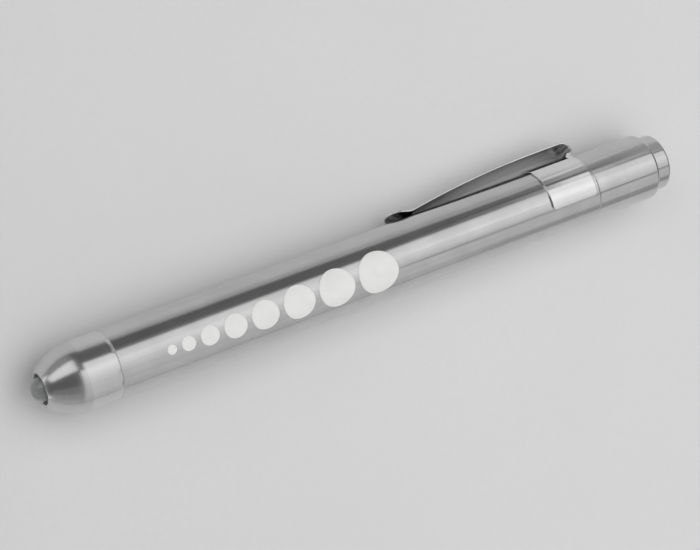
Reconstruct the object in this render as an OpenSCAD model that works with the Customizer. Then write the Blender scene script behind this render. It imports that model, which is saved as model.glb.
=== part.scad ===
// Pocket penlight for examining pupils, lying on a surface with its clip against it.
// +X runs from the lamp to the push button, +Z is up.
// The origin is on the barrel's axis, in the seam between head and barrel.
// Millimetres and degrees throughout.

/* [Cells and barrel] */
// Diameter of one AAA cell
cell_d = 10.5; // [9.5:0.1:12]
// Length of one AAA cell with its nub
cell_len = 44.5; // [42:0.1:46]
// Radial room between a cell and the bore
cell_room = 0.15; // [0.05:0.01:0.4]
// Wall of the barrel around the bore
barrel_wall = 1.6; // [1.4:0.05:3]
// Chamfer on each edge of a seam
seam_chamfer = 0.25; // [0.1:0.01:0.5]
// Gap left between the two faces of a seam
seam_gap = 0.06; // [0.02:0.01:0.15]

/* [Head] */
// Length of the straight collar behind the rounded nose
collar_len = 6.5; // [5:0.1:10]
// Length of the rounded nose in front of the collar
nose_len = 7.7; // [6:0.1:9]
// Length at which the nose curve would close to a point
nose_full_len = 9.8; // [9.3:0.1:12]
// Exponent of the nose curve, where 2 is an ellipse
nose_power = 1.72; // [1.5:0.01:2.2]
// Diameter of the hole that the lamp looks out of
window_d = 6.2; // [5.6:0.1:6.6]
// Depth of that hole behind the tip
window_depth = 3.7; // [3:0.1:5]
// Radius on the rim of the hole
lip_r = 0.22; // [0.1:0.01:0.25]
// How far the lamp's dome stands out of the tip
lamp_proud = 1.95; // [1:0.05:2.4]

/* [Lamp] */
// Diameter of the LED's dome
lamp_d = 5; // [4:0.1:5.4]
// Length of the LED from its dome to the back of its flange
lamp_len = 8.6; // [8:0.1:9.5]
// Diameter of the LED's flange
lamp_flange_d = 5.8; // [5.6:0.1:6.2]
// Thickness of the LED's flange
lamp_flange_t = 1; // [0.6:0.1:1.4]
// Side of a square LED lead
lead_w = 0.5; // [0.4:0.05:0.7]
// Distance between the two leads
lead_pitch = 2.54; // [2:0.02:3]
// Thickness of the round circuit board
board_t = 1; // [0.6:0.1:1.6]
// Distance from the head seam to the front of the board
board_x = 3.5; // [2.5:0.1:4]
// Diameter of the brass stud on the board
stud_d = 2.4; // [1.6:0.1:3.2]

/* [Threads and seals] */
// Step from the bore up to the thread's crest
thread_step = 0.6; // [0.5:0.05:0.7]
// Depth of the thread
thread_depth = 0.45; // [0.3:0.01:0.5]
// Pitch of the thread
thread_pitch = 1; // [0.75:0.05:1.25]
// Radial running clearance of the thread
thread_clear = 0.05; // [0.03:0.01:0.1]
// Length of the head's threaded spigot
head_spigot_len = 6.5; // [6:0.1:7]
// Length of the cap's threaded spigot
cap_spigot_len = 7.5; // [7:0.1:8.5]
// Wall of a spigot under the thread
spigot_wall = 0.75; // [0.55:0.05:0.9]
// Thickness of the O-ring's cord
seal_d = 0.85; // [0.7:0.01:0.9]
// Distance from the seam to the O-ring's groove
seal_inset = 0.4; // [0.3:0.05:0.8]

/* [Tail cap and button] */
// Length of the tail cap
cap_len = 15.6; // [15:0.1:18]
// Width of the cap's rim around the button
cap_rim = 1.05; // [0.9:0.05:1.4]
// Thickness of the cap's rim
cap_rim_t = 1.4; // [1:0.1:2]
// Radius on the cap's rear edge
cap_edge_r = 0.8; // [0.2:0.05:0.9]
// Step inside the rim that holds the button's flange
flange_step = 0.35; // [0.25:0.05:0.5]
// How far the button stands out of the cap
button_proud = 3.6; // [2.4:0.1:5]
// Radius on the button's end
button_edge_r = 0.65; // [0.3:0.05:1.2]
// Travel of the button
button_travel = 1.6; // [1:0.1:2]
// Thickness of the button's crown
button_crown_t = 1.2; // [0.8:0.1:1.8]
// Wall of the button's skirt
button_wall = 0.9; // [0.6:0.05:1.2]
// Thickness of the button's flange
button_flange_t = 1; // [0.7:0.1:1.4]
// Running clearance around the button
button_clear = 0.05; // [0.03:0.01:0.1]

/* [Switch] */
// Diameter of the plunger
plunger_d = 3.6; // [3:0.1:4.2]
// Wall of the housing's rear boss around the plunger
boss_wall = 1.5; // [1:0.1:2]
// Length of the housing's rear boss
boss_len = 2.8; // [1.5:0.1:3]
// Thickness of the housing's flange
housing_flange_t = 1.2; // [0.8:0.1:1.6]
// Thickness of the brass contact disc
disc_t = 0.4; // [0.2:0.05:0.6]
// Inset of the contact disc from the spigot's front end
disc_inset = 0.6; // [0.3:0.1:1]
// Diameter of the rivet through the housing
rivet_d = 1.2; // [0.8:0.1:1.5]
// Wire of the two springs
spring_wire = 0.5; // [0.4:0.05:0.6]
// Length of the spring behind the cells when it is pressed in
tail_spring_len = 7.9; // [6:0.1:12]
// Curls in the spring behind the cells
tail_spring_curls = 5; // [4:1:6]
// Curls in the spring under the button
return_spring_curls = 5; // [4:1:6]

/* [Clip] */
// Thickness of the clip's sheet
clip_t = 0.4; // [0.3:0.05:0.5]
// Width of the clip's arm
clip_w = 6.4; // [5:0.1:7.5]
// Length of the band around the barrel
band_len = 11; // [8:0.1:14]
// Distance from the cap seam to the band
band_inset = 0.9; // [0.5:0.1:2]
// Half of the angle that the band wraps around the barrel
band_half_wrap = 128.5; // [110:0.5:140]
// Gap inside the fold, between band and arm
clip_gap = 2.36; // [1.6:0.02:3]
// Distance from the middle of the fold to the arm's heel
arm_len = 38.8; // [30:0.1:60]
// Straight length of the arm next to the fold
arm_flat_len = 4.4; // [2:0.1:8]
// Radius of the heel that touches the barrel
heel_r = 3.2; // [2:0.1:6]
// Slope of the flared tip
flare_angle = 17; // [8:1:30]
// Length from the heel to the end of the tip
flare_len = 4.9; // [3.6:0.1:8]
// Widest opening of the arm, about its fold
clip_open = 6; // [2:0.5:7]

/* [Pupil gauge] */
// Number of dots in the gauge
gauge_count = 8; // [3:1:8]
// Diameter of the smallest dot
gauge_first = 2; // [1:0.1:3]
// Growth from each dot to the next
gauge_grow = 1; // [0.5:0.05:1.1]
// Space between neighbouring dots
gauge_space = 1.13; // [0.6:0.01:1.6]
// Distance from the head seam to the first dot
gauge_inset = 9.85; // [4:0.05:12]
// Angle around the barrel from the clip to the gauge
gauge_turn = 122.5; // [90:0.5:180]
// Thickness of the printed dots
ink_t = 0.04; // [0.02:0.01:0.08]

/* [Hidden] */

// Number of sides on large and on small round shapes
fn_round = 96;
fn_small = 48;
// Overrun of every cut past the face that it goes through
over = 1;
// Gap between pieces that are fitted together and don't move
fit = 0.03;

// Radii that follow from the cells outwards
bore_r = cell_d / 2 + cell_room;
barrel_r = bore_r + barrel_wall;
crest_r = bore_r + thread_step;
root_r = crest_r - thread_depth;
socket_r = crest_r + thread_clear;
spigot_in_r = root_r - spigot_wall;
rim_hole_r = barrel_r - cap_rim;
pocket_r = rim_hole_r + flange_step;
button_r = rim_hole_r - button_clear;
button_flange_r = pocket_r - button_clear;
plunger_r = plunger_d / 2;

// Places along the axis, from the lamp to the button
seam_half = seam_gap / 2;
tip_x = -(collar_len + nose_len);
window_r = window_d / 2;
window_end_x = tip_x + window_depth;
lamp_tip_x = tip_x - lamp_proud;
lamp_back_x = lamp_tip_x + lamp_len;
board_back_x = board_x + board_t;
stud_tip_x = head_spigot_len + thread_pitch;
nub_len = 1;
nub_share = 0.36;
nub_r = cell_d * nub_share / 2;
cell_1_x = stud_tip_x;
cell_2_x = cell_1_x + cell_len;
cells_end_x = cell_2_x + cell_len;
// The barrel is as long as its contact, cells and spring need
disc_x = cells_end_x + tail_spring_len;
sleeve_x = disc_x - disc_inset;
barrel_len = sleeve_x + cap_spigot_len;
cap_end_x = barrel_len + cap_len;
rim_x = cap_end_x - cap_rim_t;
button_end_x = cap_end_x + button_proud;
crown_x = button_end_x - button_crown_t;
button_flange_x = rim_x - button_clear;
sleeve_tail_len = 4;
sleeve_end_x = barrel_len + sleeve_tail_len;
housing_x = disc_x + disc_t;
housing_flange_end_x = sleeve_end_x + housing_flange_t;
boss_end_x = housing_flange_end_x + boss_len;
switch_floor_x = barrel_len - seal_inset - seal_d;
rivet_head_t = 0.7;
contact_x = switch_floor_x + rivet_head_t;
plunger_tip_x = contact_x + button_travel + fit;
plunger_tip_len = 0.9;
plunger_x = plunger_tip_x + plunger_tip_len;

// The O-ring fills its groove up to the running clearance
seal_r = seal_d / 2;
seal_mid_r = socket_r - thread_clear / 2 - seal_r;
groove_r = seal_mid_r - seal_r - fit;
groove_len = seal_d + 4 * fit;
land_len = seal_inset + groove_len + seal_inset;

// The clip is drawn with the barrel's axis along X and its own direction along Y
band_in_r = barrel_r + fit;
band_out_r = band_in_r + clip_t;
band_x1 = barrel_len - band_inset;
band_x0 = band_x1 - band_len;
band_mid = band_in_r + clip_t / 2;
fold_r = (clip_gap + clip_t) / 2;
fold_x = band_x1 + band_inset / 2;
fold_y = band_mid + fold_r;
arm_mid = fold_y + fold_r;
arm_top = arm_mid + clip_t / 2;
heel_clear = 0.08;
heel_mid = barrel_r + heel_clear + clip_t / 2;
heel_x = fold_x - arm_len;
fall = arm_mid - heel_mid;
run = arm_len - arm_flat_len;
bow_angle = 2 * atan(fall / run);
bow_r = run / sin(bow_angle) - heel_r;
tip_end_x = heel_x - flare_len;
// The fold is cut where it leaves the band, wide enough for the arm to open
split_room = 0.12;
split_angle = clip_open + split_room / fold_r * 180 / PI;

// Roll that lays both the band and the arm's edge on the surface under the pen
clip_roll = asin(band_out_r / norm([arm_top, clip_w / 2])) - atan(clip_w / 2 / arm_top);

// Spins a list of [radius, x] points about the barrel's axis
module turned(points, sides = fn_round) {
    rotate([90, 0, 90]) rotate_extrude($fn = sides) polygon(points);
}

// A plain tube along the axis
module tube(x0, x1, r_in, r_out, sides = fn_round) {
    turned([[r_in, x0], [r_out, x0], [r_out, x1], [r_in, x1]], sides);
}

// A plain rod along the axis
module rod(x0, x1, r, sides = fn_small) {
    translate([x0, 0, 0]) rotate([0, 90, 0]) cylinder(h = x1 - x0, r = r, $fn = sides);
}

// Turns a shape drawn around the clip's own direction into its place on the barrel
module at_clip() {
    rotate([-clip_roll, 0, 0]) children();
}

// Ridges of a thread from x0 to x1, between a low and a high radius
function ridges(x0, x1, r_low, r_high) =
    let (count = floor(abs(x1 - x0) / thread_pitch), step = (x1 > x0 ? 1 : -1) * thread_pitch)
    [for (i = [0:count - 1]) each [[r_low, x0 + i * step], [r_high, x0 + (i + 0.5) * step]]];

// Outside of a threaded spigot that runs from x = 0 at its shoulder to its end
function spigot(len) = concat(
    [[crest_r, 0], [crest_r, seal_inset], [groove_r, seal_inset],
        [groove_r, seal_inset + groove_len], [crest_r, seal_inset + groove_len],
        [crest_r, land_len]],
    ridges(land_len, len - thread_depth, root_r, crest_r),
    [[root_r, len - thread_depth], [root_r, len]]);

// Inside of a threaded socket that takes such a spigot, from its mouth to its floor
function socket(len) = concat(
    [[socket_r, 0], [socket_r, land_len]],
    ridges(land_len, len, socket_r, socket_r + thread_depth),
    [[socket_r, len + fit * 2], [bore_r, len + fit * 2]]);

function mirrored(points, x0) = [for (p = points) [p[0], x0 - p[1]]];
function backwards(points) = [for (i = [len(points) - 1:-1:0]) points[i]];

// A quarter round of radius r about [cr, cx], between two angles
function round_edge(cr, cx, r, from, to, steps = 6) =
    [for (i = [0:steps]) let (a = from + (to - from) * i / steps) [cr + r * cos(a), cx + r * sin(a)]];

// Nose curve: a superellipse from the collar's radius towards a point
nose_steps = 20;
function nose_radius(s) =
    barrel_r * pow(1 - pow(s * nose_len / nose_full_len, nose_power), 1 / nose_power);
nose_tip_r = nose_radius(1);

// Centre line of a coil: curls turns of radius r from x0 to x1
coil_rings = 16;
coil_sides = 6;
function coil(x0, x1, r, curls) =
    [for (i = [0:curls * coil_rings]) let (a = 360 * i / coil_rings, s = i / (curls * coil_rings))
        [x0 + (x1 - x0) * s, r * cos(a), r * sin(a)]];

// Least gap between a coil and its own next curl
function coil_gap(path) =
    min([for (i = [0:len(path) - 1 - coil_rings]) norm(path[i] - path[i + coil_rings])]) - spring_wire;

// An unbroken round wire swept along a coil, with rings square to the coil's radius
module wire(path) {
    n = len(path);
    points = [for (p = path) let (out = [0, p[1], p[2]] / norm([p[1], p[2]]))
        for (k = [0:coil_sides - 1]) let (a = 360 * k / coil_sides)
            p + spring_wire / 2 * (cos(a) * out + sin(a) * [1, 0, 0])];
    sides = [for (i = [0:n - 2], k = [0:coil_sides - 1]) let (m = (k + 1) % coil_sides)
        each [[i * coil_sides + k, (i + 1) * coil_sides + k, (i + 1) * coil_sides + m],
            [i * coil_sides + k, (i + 1) * coil_sides + m, i * coil_sides + m]]];
    ends = [for (k = [1:coil_sides - 2]) each [[0, k, k + 1],
        [(n - 1) * coil_sides, (n - 1) * coil_sides + k + 1, (n - 1) * coil_sides + k]]];
    polyhedron(points, concat(sides, ends));
}

module head_shell() {
    color("gainsboro") turned(concat(
        [[window_r, window_end_x], [window_r, tip_x + lip_r]],
        round_edge(window_r + lip_r, tip_x + lip_r, lip_r, 180, 270),
        round_edge(nose_tip_r - lip_r, tip_x + lip_r, lip_r, 270, 330),
        [for (i = [nose_steps - 1:-1:0])
            [nose_radius(i / nose_steps), -collar_len - nose_len * i / nose_steps]],
        [[barrel_r, -seam_half - seam_chamfer], [barrel_r - seam_chamfer, -seam_half],
            [crest_r, -seam_half]],
        spigot(head_spigot_len),
        [[spigot_in_r, head_spigot_len], [spigot_in_r, window_end_x]]));
}

// Clear epoxy body of the LED, hollow only where its metal frame is cast in
led_cup_r = 0.9;
led_cup_share = 0.62;
led_cup_x = lamp_tip_x + lamp_d * led_cup_share;
led_cup_t = 0.8;
module led_lamp() {
    dome_x = lamp_tip_x + lamp_d / 2;
    color("whitesmoke") difference() {
        union() {
            turned(concat([[0, lamp_back_x], [0, lamp_tip_x]],
                [for (a = [5:5:90]) [lamp_d / 2 * sin(a), dome_x - lamp_d / 2 * cos(a)]],
                [[lamp_d / 2, lamp_back_x]]));
            rod(lamp_back_x - lamp_flange_t, lamp_back_x, lamp_flange_d / 2, fn_round);
        }
        led_metal(fit);
    }
}

// The LED's metal: a cup and a post that each end in a square lead
module led_metal(grow = 0) {
    for (side = [-1, 1])
        translate([led_cup_x, side * lead_pitch / 2 - lead_w / 2 - grow, -lead_w / 2 - grow])
            cube([board_back_x + lead_w - led_cup_x, lead_w + 2 * grow, lead_w + 2 * grow]);
    translate([led_cup_x - grow, -lead_pitch / 2 - lead_w / 2 - grow, -led_cup_r - grow])
        cube([led_cup_t + 2 * grow, lead_pitch / 2 + lead_w / 2 + led_cup_r - lead_w + 2 * grow,
            2 * led_cup_r + 2 * grow]);
}

module led_frame() {
    color("silver") led_metal();
}

module led_holder() {
    flange_x = lamp_back_x - lamp_flange_t;
    color("white") turned([
        [lamp_d / 2 + fit, window_end_x + fit], [spigot_in_r - fit, window_end_x + fit],
        [spigot_in_r - fit, board_x], [lamp_flange_d / 2 + fit, board_x],
        [lamp_flange_d / 2 + fit, flange_x], [lamp_d / 2 + fit, flange_x]]);
}

module led_board() {
    color("darkgreen") difference() {
        rod(board_x, board_back_x, spigot_in_r - fit, fn_round);
        for (side = [-1, 1])
            translate([0, side * lead_pitch / 2, 0])
                rod(board_x - over, board_back_x + over, lead_w, fn_small);
    }
}

// Solder on the two leads, and one resistor beside the stud
resistor = [0.6, 3.2, 1.6];
solder_h = 0.7;
module board_parts() {
    color("dimgray")
        translate([board_back_x, -resistor[1] / 2, -stud_d / 2 - resistor[2] - lead_w])
            cube(resistor);
    color("lightgray")
        for (side = [-1, 1])
            difference() {
                translate([0, side * lead_pitch / 2, 0])
                    turned([[0, board_back_x], [lead_w * 1.4, board_back_x],
                        [lead_w * 0.8, board_back_x + solder_h], [0, board_back_x + solder_h]], fn_small);
                led_metal(fit / 2);
            }
}

// Brass contact: a foot on the board that arches over the leads to a central stud
foot_t = 0.4;
module front_contact() {
    foot_x = board_back_x + solder_h + fit * 4;
    color("goldenrod") {
        turned([[0, foot_x], [stud_d * 0.9, foot_x], [stud_d * 0.9, foot_x + foot_t],
            [stud_d / 2, foot_x + foot_t], [stud_d / 2, stud_tip_x - foot_t / 2],
            [stud_d / 2 - foot_t / 2, stud_tip_x], [0, stud_tip_x]]);
        translate([board_back_x, -lead_w, stud_d / 2]) cube([foot_x - board_back_x, lead_w * 2, lead_w]);
    }
}

module head_oring() {
    color("black") turned([for (i = [0:23]) [seal_mid_r + seal_r * cos(15 * i),
        seal_inset + groove_len / 2 + seal_r * sin(15 * i)]]);
}

module barrel() {
    color("silver") turned(concat(
        [[barrel_r - seam_chamfer, seam_half], [barrel_r, seam_half + seam_chamfer],
            [barrel_r, barrel_len - seam_half - seam_chamfer],
            [barrel_r - seam_chamfer, barrel_len - seam_half]],
        [[socket_r, barrel_len - seam_half]],
        mirrored(slice(socket(cap_spigot_len), 1), barrel_len),
        backwards(slice(socket(head_spigot_len), 1)),
        [[socket_r, seam_half]]));
}

// A list without its first items
function slice(points, from) = [for (i = [from:len(points) - 1]) points[i]];

// Place of each dot's centre along the barrel
function dot_d(i) = gauge_first + gauge_grow * i;
function dot_x(i) = gauge_inset + dot_d(0) / 2
    + (i == 0 ? 0 : i * gauge_space + gauge_first * i + gauge_grow * i * i / 2);

// Each dot is a true circle wrapped onto the barrel, so its outline is drawn unrolled
dot_sides = 48;
module gauge_dots() {
    color("white") rotate([gauge_turn - clip_roll - 90, 0, 0])
        for (i = [0:gauge_count - 1])
            intersection() {
                tube(dot_x(i) - dot_d(i), dot_x(i) + dot_d(i), barrel_r, barrel_r + ink_t);
                linear_extrude(2 * barrel_r) polygon([for (k = [0:dot_sides - 1])
                    let (a = 360 * k / dot_sides, r = dot_d(i) / 2)
                    [dot_x(i) + r * cos(a), barrel_r * sin(r * sin(a) / barrel_r * 180 / PI)]]);
            }
}

// One AAA cell, whose nub's tip is at x = 0
wrap_t = 0.1;
can_r = cell_d / 2 - wrap_t;
crimp_r = 0.5;
module cell_can(x) {
    color("silver") turned(concat([[0, x + nub_len], [can_r - crimp_r, x + nub_len]],
        round_edge(can_r - crimp_r, x + nub_len + crimp_r, crimp_r, -90, 0),
        round_edge(can_r - crimp_r, x + cell_len - crimp_r, crimp_r, 0, 90),
        [[0, x + cell_len]]));
}
module cell_nub(x) {
    color("lightgray") turned([[0, x], [nub_r - crimp_r / 2, x], [nub_r, x + crimp_r / 2],
        [nub_r, x + nub_len], [0, x + nub_len]]);
}
module cell_wrap(x) {
    color("slategray") tube(x + nub_len + crimp_r, x + cell_len - crimp_r, can_r, can_r + wrap_t);
}
module cell_front() { cell_can(cell_1_x); }
module cell_front_nub() { cell_nub(cell_1_x); }
module cell_front_wrap() { cell_wrap(cell_1_x); }
module cell_rear() { cell_can(cell_2_x); }
module cell_rear_nub() { cell_nub(cell_2_x); }
module cell_rear_wrap() { cell_wrap(cell_2_x); }

// Both sides of a strip of sheet that follows a line of [x, y, heading] points
function strip(path) = concat(
    [for (p = path) [p[0] - clip_t / 2 * sin(p[2]), p[1] + clip_t / 2 * cos(p[2])]],
    [for (p = backwards(path)) [p[0] + clip_t / 2 * sin(p[2]), p[1] - clip_t / 2 * cos(p[2])]]);

// C-shaped band, open on the side away from the clip, with the root of its fold
module clip_band() {
    opening = 180 - band_half_wrap;
    reach = 2 * band_out_r;
    color("lightsteelblue") at_clip() {
        difference() {
            tube(band_x0, band_x1, band_in_r, band_out_r);
            rotate([90, 0, 90]) linear_extrude(band_x1 + over) polygon([[0, 0],
                reach * [-cos(opening), sin(opening)], reach * [-2, sin(opening)],
                reach * [-2, -sin(opening)], reach * [-cos(opening), -sin(opening)]]);
        }
        translate([band_x1 - clip_w / 2, band_in_r, -clip_w / 2])
            cube([fold_x - band_x1 + clip_w / 2, clip_t, clip_w]);
    }
}

// Centre line of the arm: fold, flat, long bow, heel and flared tip
fold_steps = 16;
bow_steps = 12;
heel_steps = 8;
arm_path = concat(
    [for (i = [0:fold_steps]) let (a = -90 + split_angle + (180 - split_angle) * i / fold_steps)
        [fold_x + fold_r * cos(a), fold_y + fold_r * sin(a), a + 90]],
    [for (i = [0:bow_steps]) let (a = bow_angle * i / bow_steps)
        [fold_x - arm_flat_len - bow_r * sin(a), arm_mid - bow_r * (1 - cos(a)), 180 + a]],
    [for (i = [1:heel_steps]) let (a = bow_angle - (bow_angle + flare_angle) * i / heel_steps)
        [heel_x + heel_r * sin(a), heel_mid + heel_r * (1 - cos(a)), 180 + a]],
    [let (rest = flare_len - heel_r * sin(flare_angle))
        [tip_end_x, heel_mid + heel_r * (1 - cos(flare_angle)) + rest * tan(flare_angle),
            180 - flare_angle]]);

module clip_arm() {
    color("lightsteelblue") at_clip() intersection() {
        translate([0, 0, -clip_w / 2]) linear_extrude(clip_w) polygon(strip(arm_path));
        // Plan of the arm, with a half-round tip
        rotate([-90, 0, 0]) union() {
            translate([tip_end_x + clip_w / 2, 0, 0])
                cylinder(h = 2 * arm_top, r = clip_w / 2, $fn = fn_round);
            translate([tip_end_x + clip_w / 2, -clip_w / 2, 0])
                cube([arm_len + flare_len, clip_w, 2 * arm_top]);
        }
    }
}

module tail_cap() {
    color("gainsboro") turned(concat(
        [[pocket_r, barrel_len + seam_half], [barrel_r - seam_chamfer, barrel_len + seam_half],
            [barrel_r, barrel_len + seam_half + seam_chamfer]],
        round_edge(barrel_r - cap_edge_r, cap_end_x - cap_edge_r, cap_edge_r, 0, 90),
        [[rim_hole_r, cap_end_x], [rim_hole_r, rim_x], [pocket_r, rim_x]]));
}

module thread_sleeve() {
    color("lightgray") turned(concat(
        [[spigot_in_r, sleeve_x]],
        backwards(mirrored(spigot(cap_spigot_len), barrel_len + seam_half)),
        [[pocket_r - fit, barrel_len + seam_half], [pocket_r - fit, sleeve_end_x],
            [spigot_in_r, sleeve_end_x]]));
}

module cap_oring() {
    color("black") turned([for (i = [0:23]) [seal_mid_r + seal_r * cos(15 * i),
        barrel_len + seam_half - seal_inset - groove_len / 2 + seal_r * sin(15 * i)]]);
}

module switch_housing() {
    color("dimgray") turned([
        [rivet_d / 2 + fit, housing_x], [spigot_in_r - fit, housing_x],
        [spigot_in_r - fit, sleeve_end_x], [pocket_r - fit, sleeve_end_x],
        [pocket_r - fit, housing_flange_end_x],
        [plunger_r + button_clear + boss_wall, housing_flange_end_x],
        [plunger_r + button_clear + boss_wall, boss_end_x], [plunger_r + button_clear, boss_end_x],
        [plunger_r + button_clear, switch_floor_x], [rivet_d / 2 + fit, switch_floor_x]]);
}

// Brass disc under the tail spring, with a rivet into the housing
module switch_contact() {
    color("goldenrod") turned([[0, disc_x], [spigot_in_r - fit, disc_x],
        [spigot_in_r - fit, housing_x], [rivet_d / 2, housing_x], [rivet_d / 2, switch_floor_x],
        [rivet_d, switch_floor_x], [rivet_d, contact_x], [0, contact_x]]);
}

// Both springs stand a hair clear of the faces that they press on
tail_spring_share = 0.7;
tail_spring_r = spigot_in_r * tail_spring_share;
tail_coil = coil(cells_end_x + spring_wire / 2 + fit, disc_x - spring_wire / 2 - fit,
    tail_spring_r, tail_spring_curls);
return_spring_r = (button_r - button_wall + button_flange_r) / 2;
return_coil = coil(housing_flange_end_x + spring_wire / 2 + fit,
    button_flange_x - button_flange_t - spring_wire / 2 - fit, return_spring_r, return_spring_curls);
echo(tail_spring_gap = coil_gap(tail_coil), return_spring_gap = coil_gap(return_coil));

module tail_spring() {
    color("silver") wire(tail_coil);
}

module return_spring() {
    color("silver") wire(return_coil);
}

module push_button() {
    front_x = button_flange_x - button_flange_t;
    color("lightgray") turned(concat(
        [[0, crown_x], [button_r - button_wall, crown_x], [button_r - button_wall, front_x],
            [button_flange_r, front_x], [button_flange_r, button_flange_x], [button_r, button_flange_x]],
        round_edge(button_r - button_edge_r, button_end_x - button_edge_r, button_edge_r, 0, 90),
        [[0, button_end_x]]));
}

// Rod between button and contacts, with a collar that keeps it square
collar_r = plunger_r + boss_wall;
collar_t = 1.2;
module switch_plunger() {
    collar_x = boss_end_x + button_travel + fit;
    color("ivory") turned([[0, plunger_x], [plunger_r, plunger_x], [plunger_r, collar_x],
        [collar_r, collar_x], [collar_r, collar_x + collar_t], [plunger_r, collar_x + collar_t],
        [plunger_r, crown_x], [0, crown_x]]);
}

module plunger_tip() {
    color("goldenrod") turned(concat([[0, plunger_x], [plunger_r * 0.8, plunger_x]],
        round_edge(plunger_r * 0.8 - plunger_tip_len, plunger_tip_x + plunger_tip_len, plunger_tip_len,
            0, -90),
        [[0, plunger_tip_x]]));
}

head_shell();
led_lamp();
led_frame();
led_holder();
led_board();
board_parts();
front_contact();
head_oring();
barrel();
gauge_dots();
cell_front();
cell_front_nub();
cell_front_wrap();
cell_rear();
cell_rear_nub();
cell_rear_wrap();
clip_band();
clip_arm();
tail_cap();
thread_sleeve();
cap_oring();
switch_housing();
switch_contact();
tail_spring();
return_spring();
push_button();
switch_plunger();
plunger_tip();
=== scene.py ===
"""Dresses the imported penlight: turned shells, a printed pupil gauge, a sprung clip and a small LED.

Every size is in millimetres and every mesh is written in metres in the frame's own axes:
+X runs from the lamp to the push button and +Z is up.
"""
import logging
from dataclasses import dataclass, field, replace
from enum import Enum
from typing import ClassVar

import bpy
import numpy as np
from mathutils import Matrix, Vector


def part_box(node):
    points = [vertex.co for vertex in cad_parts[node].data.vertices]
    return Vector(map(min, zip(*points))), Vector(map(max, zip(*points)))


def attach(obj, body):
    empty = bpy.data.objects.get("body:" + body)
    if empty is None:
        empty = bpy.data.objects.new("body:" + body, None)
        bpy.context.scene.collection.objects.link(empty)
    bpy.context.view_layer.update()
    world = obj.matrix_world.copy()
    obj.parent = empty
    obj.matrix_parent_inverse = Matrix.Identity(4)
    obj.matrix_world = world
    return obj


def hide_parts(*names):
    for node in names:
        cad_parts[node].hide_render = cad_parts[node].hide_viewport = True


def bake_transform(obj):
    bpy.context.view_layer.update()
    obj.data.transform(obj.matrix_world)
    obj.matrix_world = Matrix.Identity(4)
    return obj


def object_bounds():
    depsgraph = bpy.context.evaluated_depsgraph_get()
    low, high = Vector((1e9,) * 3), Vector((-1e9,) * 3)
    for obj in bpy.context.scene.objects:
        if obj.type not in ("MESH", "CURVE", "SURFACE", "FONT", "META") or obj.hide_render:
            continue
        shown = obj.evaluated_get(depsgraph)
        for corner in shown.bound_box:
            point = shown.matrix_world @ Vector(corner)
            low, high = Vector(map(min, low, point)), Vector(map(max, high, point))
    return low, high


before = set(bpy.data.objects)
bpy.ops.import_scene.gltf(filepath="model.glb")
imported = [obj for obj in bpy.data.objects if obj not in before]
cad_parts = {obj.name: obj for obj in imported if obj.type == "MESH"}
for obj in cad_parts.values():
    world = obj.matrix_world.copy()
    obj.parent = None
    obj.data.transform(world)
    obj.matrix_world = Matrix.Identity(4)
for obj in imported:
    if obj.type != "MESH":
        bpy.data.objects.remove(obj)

MM = 0.001
TINY = 1e-12
CAD_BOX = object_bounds()
LOG = logging.getLogger("penlight")
# Points that fall into one cell of this many millimetres are welded. The shift, a share of that
# length, keeps round coordinates away from the limits between two cells.
WELD = 1e-5
WELD_SHIFT_SHARE = 0.37


def reach(name: str) -> tuple[np.ndarray, np.ndarray]:
    """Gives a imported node's box in millimetres.

    Args:
        name: Name of the node.

    Returns:
        Its lowest and its highest corner.
    """
    low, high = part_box(name)
    return np.array(low) / MM, np.array(high) / MM


def span(name: str) -> tuple[float, float]:
    """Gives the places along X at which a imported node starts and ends."""
    low, high = reach(name)
    return float(low[0]), float(high[0])


def radius(name: str) -> float:
    """Gives the greatest radius of a node that is turned about the pen's axis."""
    return float(reach(name)[1][2])


def linear(code: str) -> tuple[float, float, float, float]:
    """Turns an sRGB hex colour into linear light: a straight toe, then a power of 2.4.

    Args:
        code: Six hex digits.

    Returns:
        Red, green, blue and a full alpha.
    """
    values = np.array([int(code[i:i + 2], 16) for i in (0, 2, 4)]) / 255
    low, high = values / 12.92, ((values + 0.055) / 1.055) ** 2.4
    return (*np.where(values <= 0.04045, low, high).tolist(), 1.0)


@dataclass(frozen=True)
class Block:
    """A grid of points with the normals of the faces before and after each row."""

    points: np.ndarray
    before: np.ndarray
    after: np.ndarray


def slope(points: np.ndarray, axis: int) -> np.ndarray:
    """Takes central differences along one axis of a grid, around the join where the grid closes.

    Args:
        points: Rows by columns by three.
        axis: The axis to follow, 0 or 1.

    Returns:
        The difference at each point.
    """
    ordered = np.moveaxis(points, axis, 0)
    result = np.gradient(ordered, axis=0)
    if np.allclose(ordered[0], ordered[-1], atol=WELD):
        result[0] = result[-1] = (ordered[1] - ordered[-2]) / 2
    return np.moveaxis(result, 0, axis)


def smooth_block(points: np.ndarray) -> Block:
    """Shades a grid smoothly: a point's normal is the cross product of the grid's two slopes there.

    Args:
        points: Rows by columns by three.

    Returns:
        The grid with one normal for each point.
    """
    normals = np.cross(slope(points, 1), slope(points, 0))
    normals /= np.maximum(np.linalg.norm(normals, axis=2, keepdims=True), TINY)
    return Block(points, normals, normals)


def capped(points: np.ndarray) -> list[Block]:
    """Shades a grid of closed columns smoothly and closes its first and last one with flat fans.

    Args:
        points: A closed section in each column.

    Returns:
        The grid and its two ends.
    """
    first, last = points[:, 0], points[:, -1]
    start = np.stack([np.broadcast_to(first[:-1].mean(axis=0), first.shape), first], 1)
    end = np.stack([last, np.broadcast_to(last[:-1].mean(axis=0), last.shape)], 1)
    return [smooth_block(points), smooth_block(start), smooth_block(end)]


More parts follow.
